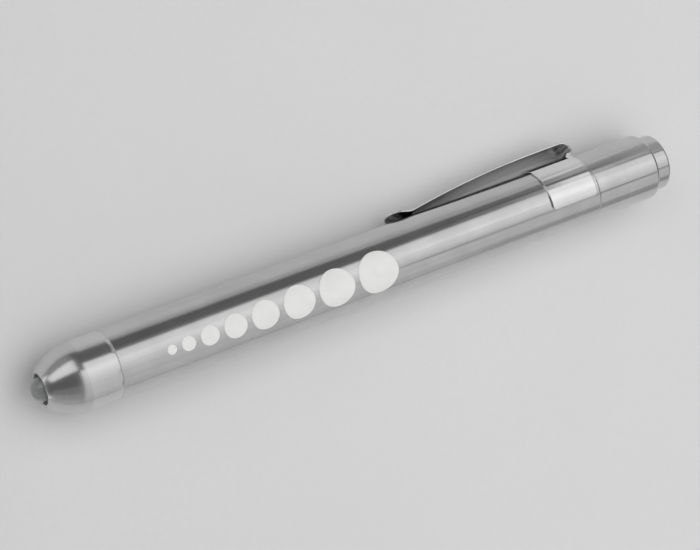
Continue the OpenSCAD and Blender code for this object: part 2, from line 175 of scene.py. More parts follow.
def cell_corners(before: np.ndarray, after: np.ndarray) -> np.ndarray:
    """Lists the corners of a grid's cells: (i, j), (i, j+1), (i+1, j+1) and (i+1, j) for cell (i, j).

    Args:
        before: What the points are worth to the cells before their row.
        after: What they are worth to the cells after it.

    Returns:
        Rows by columns by the four corners' values.
    """
    return np.stack([after[:-1, :-1], after[:-1, 1:], before[1:, 1:], before[1:, :-1]], 2)


def weld(points: np.ndarray) -> tuple[np.ndarray, np.ndarray]:
    """Merges the points that fall into one cell, for which floor(point / WELD + shift) is the same.

    Args:
        points: Rows of three.

    Returns:
        The points that stay, and the place among them of each point that came.
    """
    keys = np.floor(points / WELD + WELD_SHIFT_SHARE).astype(np.int64)
    first, back = np.unique(keys, axis=0, return_index=True, return_inverse=True)[1:]
    return points[first], back.reshape(-1)


def make_piece(name: str, blocks: list[Block]) -> bpy.types.Object:
    """Welds grids into one closed mesh and keeps the normals that they came with.

    A face that loses a corner in the weld becomes a triangle, and one that loses two is left out.
    The mesh's volume is a sixth of the sum of a . (b x c + c x d) over its faces, and where that is
    negative, all faces are turned around.

    Args:
        name: Name of the new object.
        blocks: The grids, in millimetres.

    Returns:
        The object, linked to the scene with its place in its mesh.
    """
    points, corners, normals, offset = [], [], [], 0
    for block in blocks:
        rows, columns = block.points.shape[:2]
        index = np.arange(rows * columns).reshape(rows, columns) + offset
        offset += rows * columns
        points.append(block.points.reshape(-1, 3))
        corners.append(cell_corners(index, index).reshape(-1, 4))
        normals.append(cell_corners(block.before, block.after).reshape(-1, 4, 3))
    points, places = weld(np.concatenate(points))
    corners, normals = places[np.concatenate(corners)], np.concatenate(normals)
    a, b, c, d = (points[corners[:, k]] for k in range(4))
    if (a * (np.cross(b, c) + np.cross(c, d))).sum() < 0:
        corners, normals = corners[:, ::-1], -normals[:, ::-1]
    keep = corners != np.roll(corners, 1, axis=1)
    keep &= keep.sum(axis=1, keepdims=True) >= 3
    counts = keep.sum(axis=1)
    counts = counts[counts > 0]
    faces = np.split(corners[keep], np.cumsum(counts)[:-1])
    mesh = bpy.data.meshes.new(name)
    mesh.from_pydata((points * MM).tolist(), [], [face.tolist() for face in faces])
    mesh.polygons.foreach_set("use_smooth", np.ones(len(counts), bool))
    mesh.normals_split_custom_set(normals[keep].tolist())
    piece = bpy.data.objects.new(name, mesh)
    bpy.context.scene.collection.objects.link(piece)
    return piece


@dataclass
class Outline:
    """A turned outline: stretches of [x, r] points with the normals before and after each point."""

    points: list[np.ndarray] = field(default_factory=list)
    before: list[np.ndarray] = field(default_factory=list)
    after: list[np.ndarray] = field(default_factory=list)

    def add(self, points: np.ndarray, before: np.ndarray, after: np.ndarray) -> None:
        """Adds a stretch.

        Args:
            points: One [x, r] point, or several in rows.
            before: The normals of the faces that end at each point.
            after: The normals of the faces that start there.
        """
        self.points.append(np.atleast_2d(points))
        self.before.append(np.atleast_2d(before))
        self.after.append(np.atleast_2d(after))

    def turned(self, sides: int) -> Block:
        """Spins the outline about X: y = r cos a and z = r sin a, with a from 0 to a full turn.

        Args:
            sides: Number of faces around.

        Returns:
            The grid, a row for each outline point.
        """
        angle = np.linspace(0, 2 * np.pi, sides + 1)
        ring = np.stack([np.ones_like(angle), np.cos(angle), np.sin(angle)], -1)

        def spin(stretches: list[np.ndarray]) -> np.ndarray:
            """Carries the stretches' [x, r] pairs around the axis."""
            return np.concatenate(stretches)[:, None, [0, 1, 1]] * ring

        return Block(spin(self.points), spin(self.before), spin(self.after))


def outward(start: np.ndarray, end: np.ndarray) -> np.ndarray:
    """Gives the outward normal of an outline's straight: its direction turned a quarter to the left."""
    run = end - start
    return np.array([-run[1], run[0]]) / max(np.hypot(*run), TINY)


def curve_normals(curve: np.ndarray) -> np.ndarray:
    """Gives a curve's outward normals: its central differences turned a quarter to the left.

    Args:
        curve: Rows of [x, r]. A curve that ends where it starts has one normal there.

    Returns:
        A unit normal for each row.
    """
    run = np.gradient(curve, axis=0)
    normals = np.stack([-run[:, 1], run[:, 0]], -1)
    normals /= np.linalg.norm(normals, axis=1, keepdims=True)
    if np.allclose(curve[0], curve[-1]):
        normals[0] = normals[-1] = (normals[0] + normals[-1]) / 2
    return normals


def corner_arc(corner: np.ndarray, rounding: float, arriving: np.ndarray, leaving: np.ndarray,
               steps: int) -> tuple[np.ndarray, np.ndarray]:
    """Rounds a corner with an arc that touches both of its straights, whose normals are n and m.

    The arc's centre lies at corner - s rounding (n + m) / (1 + n . m), with s = 1 where the outline
    bends to the right and -1 where it bends to the left.

    Args:
        corner: Its [x, r].
        rounding: The arc's radius.
        arriving: Normal of the straight that comes in.
        leaving: Normal of the straight that goes out.
        steps: Straights in the arc.

    Returns:
        The arc's points and its normals.
    """
    cosine = arriving @ leaving
    turn = np.arctan2(arriving[0] * leaving[1] - arriving[1] * leaving[0], cosine)
    side = np.sign(-turn)
    centre = corner - side * rounding * (arriving + leaving) / (1 + cosine)
    angle = np.arctan2(arriving[1], arriving[0]) + turn * np.linspace(0, 1, steps + 1)
    normals = np.stack([np.cos(angle), np.sin(angle)], -1)
    return centre + side * rounding * normals, normals


def outline(*parts: tuple[float, ...] | np.ndarray, closed: bool = True, arc_steps: int = 6) -> Outline:
    """Lays out a turned outline from corners and curves.

    A corner is (x, r), or (x, r, rounding) to be rounded. A curve is an array of [x, r] points, shaded
    smoothly from end to end.

    Args:
        parts: Corners and curves in order. The material lies to the right of the way that they go.
        closed: True joins the last point to the first.
        arc_steps: Straights in each rounded corner.

    Returns:
        The finished outline.
    """
    spots = [np.atleast_2d(part)[:, :2].astype(float) for part in parts]
    result, last = Outline(), len(spots) - 1
    for k, (part, spot) in enumerate(zip(parts, spots)):
        arriving = outward(spots[k - 1][-1], spot[0]) if closed or k > 0 else None
        leaving = outward(spot[-1], spots[(k + 1) % len(spots)][0]) if closed or k < last else None
        arriving = leaving if arriving is None else arriving
        leaving = arriving if leaving is None else leaving
        if len(spot) > 1:
            normals = curve_normals(spot)
            before, after = normals.copy(), normals.copy()
            if last > 0:
                before[0], after[-1] = arriving, leaving
            result.add(spot, before, after)
        elif len(part) > 2:
            points, normals = corner_arc(spot[0], part[2], arriving, leaving, arc_steps)
            result.add(points, normals, normals)
        else:
            result.add(spot, arriving, leaving)
    if closed:
        result.add(result.points[0][0], result.before[0][0], result.after[0][0])
    return result


@dataclass(frozen=True)
class Thread:
    """The right-hand thread of both screw joints, a rounded tooth wound around the axis.

    Attributes:
        depth: Height of the tooth.
        pitch: Distance between neighbouring teeth.
        foot: How deep the tooth is sunk into the surface that carries it.
        sharpness: Power of the tooth's sine, which makes it slimmer as it grows.
        fade_turns: Turns over which the height fades in and out.
        tooth_points: Points across the tooth.
        steps: Rings in each turn.
    """

    depth: float = 0.45
    pitch: float = 1.0
    foot: float = 0.04
    sharpness: float = 1.2
    fade_turns: float = 0.5
    tooth_points: int = 9
    steps: int = 64

    def wind(self, x0: float, x1: float, low: float, inward: bool = False) -> list[Block]:
        """Winds the ridge: x = x0 + pitch (t + w) and angle = 2 pi t, with t in turns and w across.

        It stands sin(pi w) to a power high, times its depth and foot, and fades in and out with t.

        Args:
            x0: Place of the ridge's first root.
            x1: Place of its last root.
            low: Radius of the surface that carries the ridge.
            inward: True makes a ridge that stands in towards the axis.

        Returns:
            The closed ridge as grids.
        """
        turns = (x1 - x0) / self.pitch - 1
        t = np.linspace(0, turns, int(turns * self.steps) + 1)
        fade = np.clip(np.minimum(t, turns - t) / self.fade_turns, 0, 1)
        across = np.linspace(0, 1, self.tooth_points)[:, None]
        way = -1 if inward else 1
        x = x0 + self.pitch * (t + across)
        height = (self.depth + self.foot) * np.sin(np.pi * across) ** self.sharpness * fade
        r = low - way * self.foot + way * height
        angle = 2 * np.pi * np.broadcast_to(t, x.shape)
        surface = np.stack([x, r * np.cos(angle), r * np.sin(angle)], -1)
        return capped(np.concatenate([surface, surface[:1]]))


def node(tree: bpy.types.NodeTree, kind: str, inputs: dict[str | int, object] | None = None,
         **settings: object) -> bpy.types.Node:
    """Adds one shader node, sets its properties and sockets and links what feeds it.

    Args:
        tree: The node tree.
        kind: Blender's name for the node's type.
        inputs: Value or feeding socket for each input, by name or number.
        settings: The node's own properties.

    Returns:
        The new node.
    """
    made = tree.nodes.new(kind)
    for key, value in settings.items():
        setattr(made, key, value)
    for key, value in (inputs or {}).items():
        if isinstance(value, bpy.types.NodeSocket):
            tree.links.new(value, made.inputs[key])
        else:
            made.inputs[key].default_value = value
    return made


class Grain(Enum):
    """The way a surface's fine pattern runs: how densely along X, Y and Z, where 1 is full density."""

    ALONG = (0.01, 1.0, 1.0)
    AROUND = (1.0, 0.012, 0.012)
    EVEN = (1.0, 1.0, 1.0)


@dataclass(frozen=True)
class Finish:
    """What a surface is made of and how it was made.

    Attributes:
        name: The material's name.
        slot: The record's slot that it belongs to, or nothing for the floor; not used here.
        light: sRGB hex colour of the light places.
        dark: sRGB hex colour of the dark ones.
        metallic: 1 for a metal.
        roughness: Least and greatest roughness.
        grain: The way the grain runs.
        grain_mm: Width of the grain.
        bump_mm: Depth of the grain.
        mottle_mm: Size of the broad patches.
        coat: Weight of a clear gloss over it.
        clear: Share of the light that it lets through.
        ior: Refractive index.
    """

    name: str
    slot: str
    light: str
    dark: str
    metallic: float
    roughness: tuple[float, float]
    grain: Grain = Grain.EVEN
    grain_mm: float = 0.4
    bump_mm: float = 0.002
    mottle_mm: float = 6.0
    coat: float = 0.0
    clear: float = 0.0
    ior: float = 1.5

    # Octaves of the two noises, how much the finer octaves weigh, and the stretches of the fine noise
    # and of both noises' product that are spread over the roughness and the colours
    fine_octaves: ClassVar[float] = 5.0
    fine_weight: ClassVar[float] = 0.6
    broad_octaves: ClassVar[float] = 2.0
    fine_reach: ClassVar[tuple[float, float]] = (0.3, 0.7)
    product_reach: ClassVar[tuple[float, float]] = (0.12, 0.4)

    def material(self) -> bpy.types.Material:
        """Builds the finish once from two noises: a fine grain that runs one way and a broad, soft mottle.

        Returns:
            The material, the same one each time.
        """
        made = bpy.data.materials.get(self.name)
        if made:
            return made
        made = bpy.data.materials.new(self.name)
        made.use_nodes = True
        tree = made.node_tree
        tree.nodes.clear()
        place = node(tree, "ShaderNodeTexCoord").outputs["Object"]
        density = [share / (self.grain_mm * MM) for share in self.grain.value]
        run = node(tree, "ShaderNodeMapping", {"Vector": place, "Scale": density}).outputs["Vector"]
        fine = node(tree, "ShaderNodeTexNoise", {
            "Vector": run, "Scale": 1.0, "Detail": self.fine_octaves, "Roughness": self.fine_weight})
        broad = node(tree, "ShaderNodeTexNoise", {
            "Vector": place, "Scale": 1 / (self.mottle_mm * MM), "Detail": self.broad_octaves})
        fine, broad = fine.outputs["Fac"], broad.outputs["Fac"]
        product = node(tree, "ShaderNodeMath", {0: fine, 1: broad}, operation="MULTIPLY").outputs[0]
        ramp = node(tree, "ShaderNodeMapRange", {
            "Value": product, "From Min": self.product_reach[0], "From Max": self.product_reach[1]})
        colour = node(tree, "ShaderNodeMix", {
            "Factor": ramp.outputs[0], 6: linear(self.dark), 7: linear(self.light)}, data_type="RGBA")
        rough = node(tree, "ShaderNodeMapRange", {
            "Value": fine, "From Min": self.fine_reach[0], "From Max": self.fine_reach[1],
            "To Min": self.roughness[0], "To Max": self.roughness[1]})
        bump = node(tree, "ShaderNodeBump", {
            "Height": fine, "Distance": self.bump_mm * MM, "Strength": 1.0})
        shader = node(tree, "ShaderNodeBsdfPrincipled", {
            "Base Color": colour.outputs[2], "Roughness": rough.outputs[0], "Normal": bump.outputs[0],
            "Metallic": self.metallic, "IOR": self.ior, "Transmission Weight": self.clear,
            "Coat Weight": self.coat})
        node(tree, "ShaderNodeOutputMaterial", {"Surface": shader.outputs[0]})
        return made


# No grain is drawn finer than 0.1 mm, because it wouldn't show. The lathe's rings and the marks of
# drawing and rolling are coarser here than the real ones, and shallow.

# Bead-blasted aluminium inside the lamp's window: evenly matt
WINDOW = Finish("anodised_aluminium_blasted", "nose_aluminium", "DADADA", "CECECE", 1.0, (0.5, 0.6),
                bump_mm=0.004)
# Clear-anodised drawn tube: a satin sheen with faint streaks along the draw
BARREL = Finish("anodised_aluminium_drawn", "barrel_aluminium", "D2D2D2", "C6C6C6", 1.0, (0.15, 0.22),
                Grain.ALONG, grain_mm=0.5, bump_mm=0.0003)
# Anodised aluminium off the lathe and polished: a soft mirror, with the tool's faint rings
NOSE = Finish("anodised_aluminium_polished", "nose_aluminium", "D2D2D2", "CACACA", 1.0, (0.19, 0.23),
              Grain.AROUND, grain_mm=0.2, bump_mm=0.0001)
# The same metal on the nose's collar: a little lighter, with the finer rings of a last cut
COLLAR = Finish("anodised_aluminium_satin", "nose_aluminium", "DADADA", "D2D2D2", 1.0, (0.17, 0.21),
                Grain.AROUND, grain_mm=0.15, bump_mm=0.0002)
# The same metal on the cap, its sleeve and the button: glossier, with faint rings
CAP = Finish("anodised_aluminium_turned", "cap_aluminium", "D2D2D2", "C8C8C8", 1.0, (0.13, 0.18),
             Grain.AROUND, grain_mm=0.2, bump_mm=0.0002)
# Nickel plate on spring steel: bright and smooth, with a trace of the strip's rolling
CLIP = Finish("nickel_plated_steel", "clip_steel", "EAEAEA", "E0E0E0", 1.0, (0.09, 0.14),
              Grain.ALONG, bump_mm=0.0002)
# Pad-printed ink: matt, pale grey and a little uneven
INK = Finish("pad_printed_ink", "gauge_ink", "F4F4F3", "ECECEA", 0.0, (0.55, 0.7),
             grain_mm=0.15, mottle_mm=3.0)
# Cast epoxy: clear and smooth, and it bends what lies behind it
EPOXY = Finish("cast_clear_epoxy", "led_epoxy", "F6F7F8", "EEF0F2", 0.0, (0.03, 0.05),
               grain_mm=0.5, bump_mm=0.0002, mottle_mm=3.0, coat=1.0, clear=0.78, ior=1.53)
# Silver-plated frame of the LED: bright and a little grained
LEAD = Finish("silver_plated_steel", "lead_steel", "E2E2E0", "C8C8C6", 1.0, (0.18, 0.3),
              grain_mm=0.2, bump_mm=0.001, mottle_mm=1.0)
# Phosphor over the LED's die: matt yellow
PHOSPHOR = Finish("yellow_phosphor", "lead_steel", "E9D36A", "D9BE4B", 0.0, (0.6, 0.8),
                  grain_mm=0.1, bump_mm=0.004, mottle_mm=0.5)
# Turned nylon: milky and softly shining
NYLON = Finish("turned_white_nylon", "white_nylon", "ECEBE6", "DFDED8", 0.0, (0.35, 0.5),
               Grain.AROUND, grain_mm=0.2, mottle_mm=3.0)
# Moulded nylon, coloured black: dull, with a fine grain from the mould
BLACK_NYLON = Finish("moulded_black_nylon", "black_nylon", "232325", "171718", 0.0, (0.4, 0.55),
                     grain_mm=0.15, bump_mm=0.003, mottle_mm=3.0)
# Turned brass: yellow, with rings
BRASS = Finish("turned_brass", "brass", "E3C178", "C9A75F", 1.0, (0.2, 0.34),
               Grain.AROUND, grain_mm=0.15, bump_mm=0.001, mottle_mm=2.0)
# Nitrile rubber: black and greasy-matt
RUBBER = Finish("nitrile_rubber", "seal_rubber", "1D1D1E", "131314", 0.0, (0.45, 0.62),
                grain_mm=0.1, mottle_mm=1.5)
# Glass laminate under a green mask: smooth, with a thin gloss over it
LAMINATE = Finish("solder_masked_laminate", "board_laminate", "1F5B38", "17482C", 0.0, (0.25, 0.4),
                  grain_mm=0.2, mottle_mm=1.5, coat=0.3)
# Tin solder: bright and slightly lumpy
SOLDER = Finish("tin_solder", "solder", "D5D6D8", "B4B5B8", 1.0, (0.25, 0.4),
                grain_mm=0.3, bump_mm=0.006, mottle_mm=1.0)
# Hard-drawn spring wire under zinc: bright and bluish
SPRING = Finish("zinc_plated_spring_wire", "spring_steel", "CBCCCE", "ADAEB1", 1.0, (0.22, 0.36),
                grain_mm=0.12, mottle_mm=1.0)
# Drawn and nickel-plated cell can: a warm, soft shine with streaks along the draw
CAN = Finish("nickel_plated_cell_can", "cell_can", "CDCBC6", "B7B5B0", 1.0, (0.22, 0.32),
             Grain.ALONG, grain_mm=0.3, bump_mm=0.001)
# Shrunk PVC sleeve of a cell: smooth plastic with a slight gloss
WRAP = Finish("shrunk_pvc_sleeve", "cell_wrap", "5D6B77", "4C5964", 0.0, (0.28, 0.4),
              Grain.ALONG, grain_mm=0.5, mottle_mm=4.0, coat=0.3)
# Matt paper under the pen: pale and even
PAPER = Finish("matt_paper", "", "E3E3E3", "E0E0E0", 0.0, (0.85, 0.95),
               grain_mm=1.0, bump_mm=0.001, mottle_mm=60.0)


def rounded_section(half_width: np.ndarray, half_depth: np.ndarray, edge: float,
                    steps: int = 4) -> np.ndarray:
    """Draws a rectangle with quarter-round corners for every station of a strip.

    A corner is its centre plus the edge radius times (cos a, sin a), and the loop starts and ends
    in the middle of the lower side.

    Args:
        half_width: Half of the width at each station.
        half_depth: Half of the thickness at each station.
        edge: Radius of the corners, which shrinks where the strip is thinner.
        steps: Straights in each corner.

    Returns:
        Loop points by stations by [across, depth].
    """
    quarter = np.linspace(0, np.pi / 2, steps + 1)
    angle = np.concatenate([quarter - np.pi / 2, quarter, quarter + np.pi / 2, quarter + np.pi])[:, None]
    side = np.repeat([1, 1, -1, -1], steps + 1)[:, None]
    face = np.repeat([-1, 1, 1, -1], steps + 1)[:, None]
    bend = np.minimum(edge, np.minimum(half_width, half_depth))
    loop = np.stack([side * (half_width - bend) + bend * np.cos(angle),
                     face * (half_depth - bend) + bend * np.sin(angle)], -1)
    middle = np.stack([np.zeros_like(half_width), -half_depth], -1)[None]
    return np.concatenate([middle, loop, middle])


def sweep(path: np.ndarray, normal: np.ndarray, across: np.ndarray, section: np.ndarray) -> np.ndarray:
    """Carries a section along a path: point = path + across * s0 + normal * s1.

    Args:
        path: Stations by three.
        normal: Direction of the section's depth at each station.
        across: Direction of its width at each station.
        section: Loop points by stations by two.

    Returns:
        The grid, loop points by stations by three.
    """
    return path[None] + section[..., :1] * across[None] + section[..., 1:] * normal[None]


def quarter_round(share: np.ndarray) -> np.ndarray:
    """Falls from 1 to 0 along a quarter circle, sqrt(1 - u^2), as the share u rises from 0 to 1."""
    return np.sqrt(1 - np.clip(share, 0, 1) ** 2)


def smooth_step(share: np.ndarray) -> np.ndarray:
    """Rises from 0 to 1 as u^2 (3 - 2 u), as the share u does."""
    share = np.clip(share, 0, 1)
    return share ** 2 * (3 - 2 * share)


def level(x: np.ndarray, y: float) -> np.ndarray:
    """Draws a straight at one height as rows of [x, y]."""
    return np.stack([x, np.full_like(x, y)], -1)


def face_middles(piece: bpy.types.Object) -> np.ndarray:
    """Reads the middle of each face.

    Args:
        piece: The piece.

    Returns:
        Rows of three, in millimetres.
    """
    data = np.empty(3 * len(piece.data.polygons))
    piece.data.polygons.foreach_get("center", data)
    return data.reshape(-1, 3) / MM


class Dressed:
    """What every sub-assembly does with its pieces, most of which ride on its own body."""

    body: ClassVar[str]

    def turn(self, name: str, shape: Outline, finish: Finish, *stands_for: str,
             sides: int = 160, body: str | None = None) -> bpy.types.Object:
        """Turns an outline into a piece and finishes it."""
        return self.keep(name, [shape.turned(sides)], finish, *stands_for, body=body)

    def keep(self, name: str, blocks: list[Block], finish: Finish, *stands_for: str,
             body: str | None = None, ride: bool = True) -> bpy.types.Object:
        """Makes a piece, gives it its material and body and hides the nodes that it stands for.

        Args:
            name: Name of the piece.
            blocks: Its grids.
            finish: Its finish.
            stands_for: Nodes that it replaces.
            body: Body that it rides on, or the sub-assembly's own.
            ride: False leaves the piece loose, on no body.

        Returns:
            The piece.
        """
        piece = make_piece(name, blocks)
        piece.data.materials.append(finish.material())
        if ride:
            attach(piece, body or self.body)
        if stands_for:
            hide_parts(*stands_for)
        LOG.info("%s: %d faces", name, len(piece.data.polygons))
        return piece

    def part(self, piece: bpy.types.Object, finish: Finish, chosen: np.ndarray) -> None:
        """Gives some of a piece's faces another finish.

        Args:
            piece: The piece.
            finish: Their finish.
            chosen: True for each face that takes it.
        """
        mesh = piece.data
        slots = np.empty(len(mesh.polygons), dtype=np.int32)
        mesh.polygons.foreach_get("material_index", slots)
        slots[chosen] = len(mesh.materials)
        mesh.materials.append(finish.material())
        mesh.polygons.foreach_set("material_index", slots)

    def dress(self, finish: Finish, *nodes: str) -> None:
        """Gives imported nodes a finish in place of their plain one.

        Args:
            finish: The finish.
            nodes: Names of the nodes.
        """
        for name in nodes:
            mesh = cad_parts[name].data
            mesh.materials.clear()
            mesh.materials.append(finish.material())
            LOG.info("%s: dressed in %s", name, finish.name)


@dataclass
class Pen:
    """Sizes that the pieces share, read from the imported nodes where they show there."""

    radius: float = radius("barrel")
    # From the middle of the front seam, at X = 0, to the middle of the rear one
    length: float = sum(span("barrel"))
    # Half of the gap at a seam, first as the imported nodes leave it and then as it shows
    seam_half: float = span("barrel")[0]
    seam_gap: float = 0.004
    # The bevels on the barrel's and the tail cap's front edges, how far they fall, and their rounding
    head_bevel: float = 0.13
    head_bevel_drop: float = 0.16
    cap_bevel: float = 0.06
    cap_bevel_drop: float = 0.05
    bevel_round: float = 0.02
    # The cells' bore, and the spigots with their threads
    bore_r: float = 5.4
    spigot_r: float = 4.8
    crest_r: float = 6.0
    thread: Thread = Thread()
    thread_clear: float = 0.05
    land_round: float = 0.08
    end_round: float = 0.2
    # The O-rings, their grooves, and the width of the land on each side
    seal_d: float = 0.85
    seal_points: int = 33
    seal_inset: float = 0.4
    groove_len: float = 0.97
    groove_r: float = 5.145
    # Room between pieces that fit together
    fit: float = 0.03

    @property
    def root_r(self) -> float:
        """Radius at the foot of the outer threads."""
        return self.crest_r - self.thread.depth

    @property
    def land_len(self) -> float:
        """Length of the plain land that carries the seal, from the shoulder to the first thread."""
        return self.groove_len + 2 * self.seal_inset

    def spigot(self, shoulder: float, end: float) -> list[tuple[float, ...]]:
        """Lists a spigot's corners from its shoulder to its end: land, groove, land, thread root.

        Args:
            shoulder: Place of the shoulder that it stands on.
            end: Place of its end.

        Returns:
            The corners.
        """
        way = 1 if end > shoulder else -1
        groove = shoulder + way * self.seal_inset
        groove_end = groove + way * self.groove_len
        land = shoulder + way * self.land_len
        return [(shoulder, self.crest_r), (groove, self.crest_r), (groove, self.groove_r),
                (groove_end, self.groove_r), (groove_end, self.crest_r),
                (land, self.crest_r, self.land_round), (land, self.root_r),
                (end, self.root_r, self.end_round)]

    def seal(self, shoulder: float, way: int) -> Outline:
        """Draws an O-ring in its groove: a circle of the cord's diameter, turned about the axis.

        Args:
            shoulder: Place of the shoulder that the spigot stands on.
            way: 1 where the spigot points to the tail and -1 where it points to the lamp.

        Returns:
            The circle.
        """
        angle = np.linspace(2 * np.pi, 0, self.seal_points)
        middle = np.array([shoulder + way * (self.seal_inset + self.groove_len / 2),
                           self.groove_r + self.fit + self.seal_d / 2])
        ring = middle + self.seal_d / 2 * np.stack([np.sin(angle), -np.cos(angle)], -1)
        return outline(ring, closed=False)


@dataclass
class Head(Dressed):
    """The nose that screws on in front, with the LED's window."""

    pen: Pen
    body: ClassVar[str] = "head"
    # The straight collar, and the curve in front of it with its points, closest together at the collar
    collar_len: float = 6.5
    nose_full_len: float = 9.8
    nose_power: float = 1.72
    nose_points: int = 56
    nose_first_share: float = 0.985
    nose_spacing: float = 1.5
    tip_round: float = 0.12
    # The slight fall of the collar towards the seam, and the bend where it starts
    seam_slope: float = 0.55
    seam_slope_drop: float = 0.13
    seam_bend: float = 2.0
    # The lamp's window with its lip, and the spigot's inner edge
    window_r: float = 3.1
    window_depth: float = 3.7
    lip_r: float = 0.2
    spigot_round: float = 0.15

    def build(self) -> None:
        """Turns the nose with its spigot, winds the spigot's thread and lays its seal."""
        pen = self.pen
        tip, end = span("head_shell")
        floor, edge = tip + self.window_depth, -pen.seam_gap
        curve = self.nose_curve(tip)
        shape = outline(
            (floor, self.window_r), (tip, self.window_r, self.lip_r),
            (tip, self.nose_radius(-tip - self.collar_len), self.tip_round), curve,
            (-self.seam_slope, pen.radius, self.seam_bend), (edge, pen.radius - self.seam_slope_drop),
            *pen.spigot(edge, end), (end, pen.spigot_r, self.spigot_round), (floor, pen.spigot_r))
        piece = self.turn("nose_shell", shape, NOSE, "head_shell")
        x, y, z = face_middles(piece).T
        self.part(piece, COLLAR, x > -self.collar_len)
        self.part(piece, WINDOW, np.hypot(y, z) < self.window_r + self.lip_r / 2)
        self.keep("nose_thread", pen.thread.wind(pen.land_len, end, pen.root_r), NOSE)
        self.turn("nose_seal", pen.seal(-pen.seam_half, 1), RUBBER, "head_oring")

    def nose_radius(self, ahead: float | np.ndarray) -> float | np.ndarray:
        """Works out the nose's radius as a superellipse, R (1 - u^p)^(1/p).

        Args:
            ahead: Distance in front of the collar: u times the length at which the curve would close.

        Returns:
            The radius there.
        """
        share = ahead / self.nose_full_len
        return self.pen.radius * (1 - share ** self.nose_power) ** (1 / self.nose_power)

    def nose_curve(self, tip: float) -> np.ndarray:
        """Draws the nose from its tip to the collar.

        Args:
            tip: Place of the tip.

        Returns:
            Points of [x, r], closer together towards the collar.
        """
        share = np.linspace(self.nose_first_share, 0, self.nose_points) ** self.nose_spacing
        ahead = share * (-tip - self.collar_len)
        return np.stack([-self.collar_len - ahead, self.nose_radius(ahead)], -1)


@dataclass
class Lamp(Dressed):
    """The LED with its metal, the bush that holds it and its board."""

    pen: Pen
    body: ClassVar[str] = "head"
    # The clear body
    dome_r: float = 2.5
    dome_points: int = 33
    flange_t: float = 1.0
    flange_round: float = 0.12
    # The cup: its foot and its floor as shares of its radius, and the roundings of the rim's outside,
    # of the foot and of the rim's inside
    cup_r: float = 0.9
    cup_depth: float = 0.45
    cup_wall: float = 0.08
    cup_foot_share: float = 0.75
    cup_floor_share: float = 0.45
    cup_rounds: tuple[float, float, float] = (0.05, 0.1, 0.03)
    # The phosphor: how deep its middle and its edge lie in the cup, and its share of the cup's radius
    die_dip: float = 0.1
    die_edge_dip: float = 0.15
    die_share: float = 0.5
    die_round: float = 0.12
    # The leads: how far behind the rim the bare post starts, the tapers at both ends and their width
    # as a share of the lead's
    post_drop: float = 0.4
    post_taper: float = 0.2
    lead_taper: float = 0.1
    end_share: float = 0.7
    lead_w: float = 0.5
    lead_edge: float = 0.06
    lead_pitch: float = 2.54
    # The bush's edges
    bush_round: float = 0.1

    def build(self) -> None:
        """Builds the clear body, the cup, the phosphor, the leads and the bush, and dresses the board."""
        self.dome()
        self.cup()
        self.leads()
        self.bush()
        self.dress(LAMINATE, "led_board")
        self.dress(SOLDER, "board_parts")
        self.dress(BRASS, "front_contact")

    def dome(self) -> None:
        """Turns the clear body: a half ball, a rod and a flange."""
        (tip, back), flange_r = span("led_lamp"), radius("led_lamp")
        angle = np.linspace(0, np.pi / 2, self.dome_points)
        ball = np.stack([tip + self.dome_r * (1 - np.cos(angle)), self.dome_r * np.sin(angle)], -1)
        front = back - self.flange_t
        shape = outline(ball, (front, self.dome_r), (front, flange_r, self.flange_round),
                        (back, flange_r, self.flange_round), (back, 0.0), closed=False)
        self.turn("lamp_dome", shape, EPOXY, "led_lamp", sides=96)

    def cup(self) -> None:
        """Turns the cup on its post, and the phosphor that lies in it."""
        rim = span("led_frame")[0]
        floor, foot = rim + self.cup_depth, rim + 2 * self.cup_depth
        rim_round, foot_round, inner_round = self.cup_rounds
        outside = outline((rim, self.cup_r, rim_round),
                          (foot, self.cup_r * self.cup_foot_share, foot_round), (foot, 0.0), closed=False)
        inside = outline((floor, 0.0), (floor, self.cup_r * self.cup_floor_share),
                         (rim, self.cup_r - self.cup_wall), (rim, self.cup_r, inner_round), closed=False)
        self.keep("lamp_cup", [inside.turned(sides=64), outside.turned(sides=64)], LEAD)
        edge = self.cup_r * self.die_share
        die = outline((rim + self.die_dip, 0.0), (rim + self.die_edge_dip, edge, self.die_round),
                      (floor, edge), (floor, 0.0), closed=False)
        self.turn("lamp_phosphor", die, PHOSPHOR, sides=48)

    def leads(self) -> None:
        """Sweeps the posts with their leads: a rounded square carried along X, narrower at both ends."""
        rim, back = span("led_frame")
        half = np.array([self.end_share, 1, 1, self.end_share]) * self.lead_w / 2
        section = rounded_section(half, half, self.lead_edge)
        blocks = []
        for side, start in ((-1, rim + self.cup_depth), (1, rim + self.post_drop)):
            x = np.array([start, start + self.post_taper, back - self.lead_taper, back])
            path = np.stack([x, np.full_like(x, side * self.lead_pitch / 2), np.zeros_like(x)], -1)
            blocks += capped(sweep(path, np.array([[0, 0, 1.0]]), np.array([[0, 1.0, 0]]), section))
        self.keep("lamp_leads", blocks, LEAD, "led_frame")

    def bush(self) -> None:
        """Turns the nylon bush that centres the LED."""
        (front, back), outer = span("led_holder"), radius("led_holder")
        flange = span("led_lamp")[1] - self.flange_t
        narrow, wide = self.dome_r + self.pen.fit, radius("led_lamp") + self.pen.fit
        shape = outline((front, narrow, self.bush_round), (front, outer, self.bush_round),
                        (back, outer, self.bush_round), (back, wide), (flange, wide), (flange, narrow))
        self.turn("lamp_holder", shape, NYLON, "led_holder")


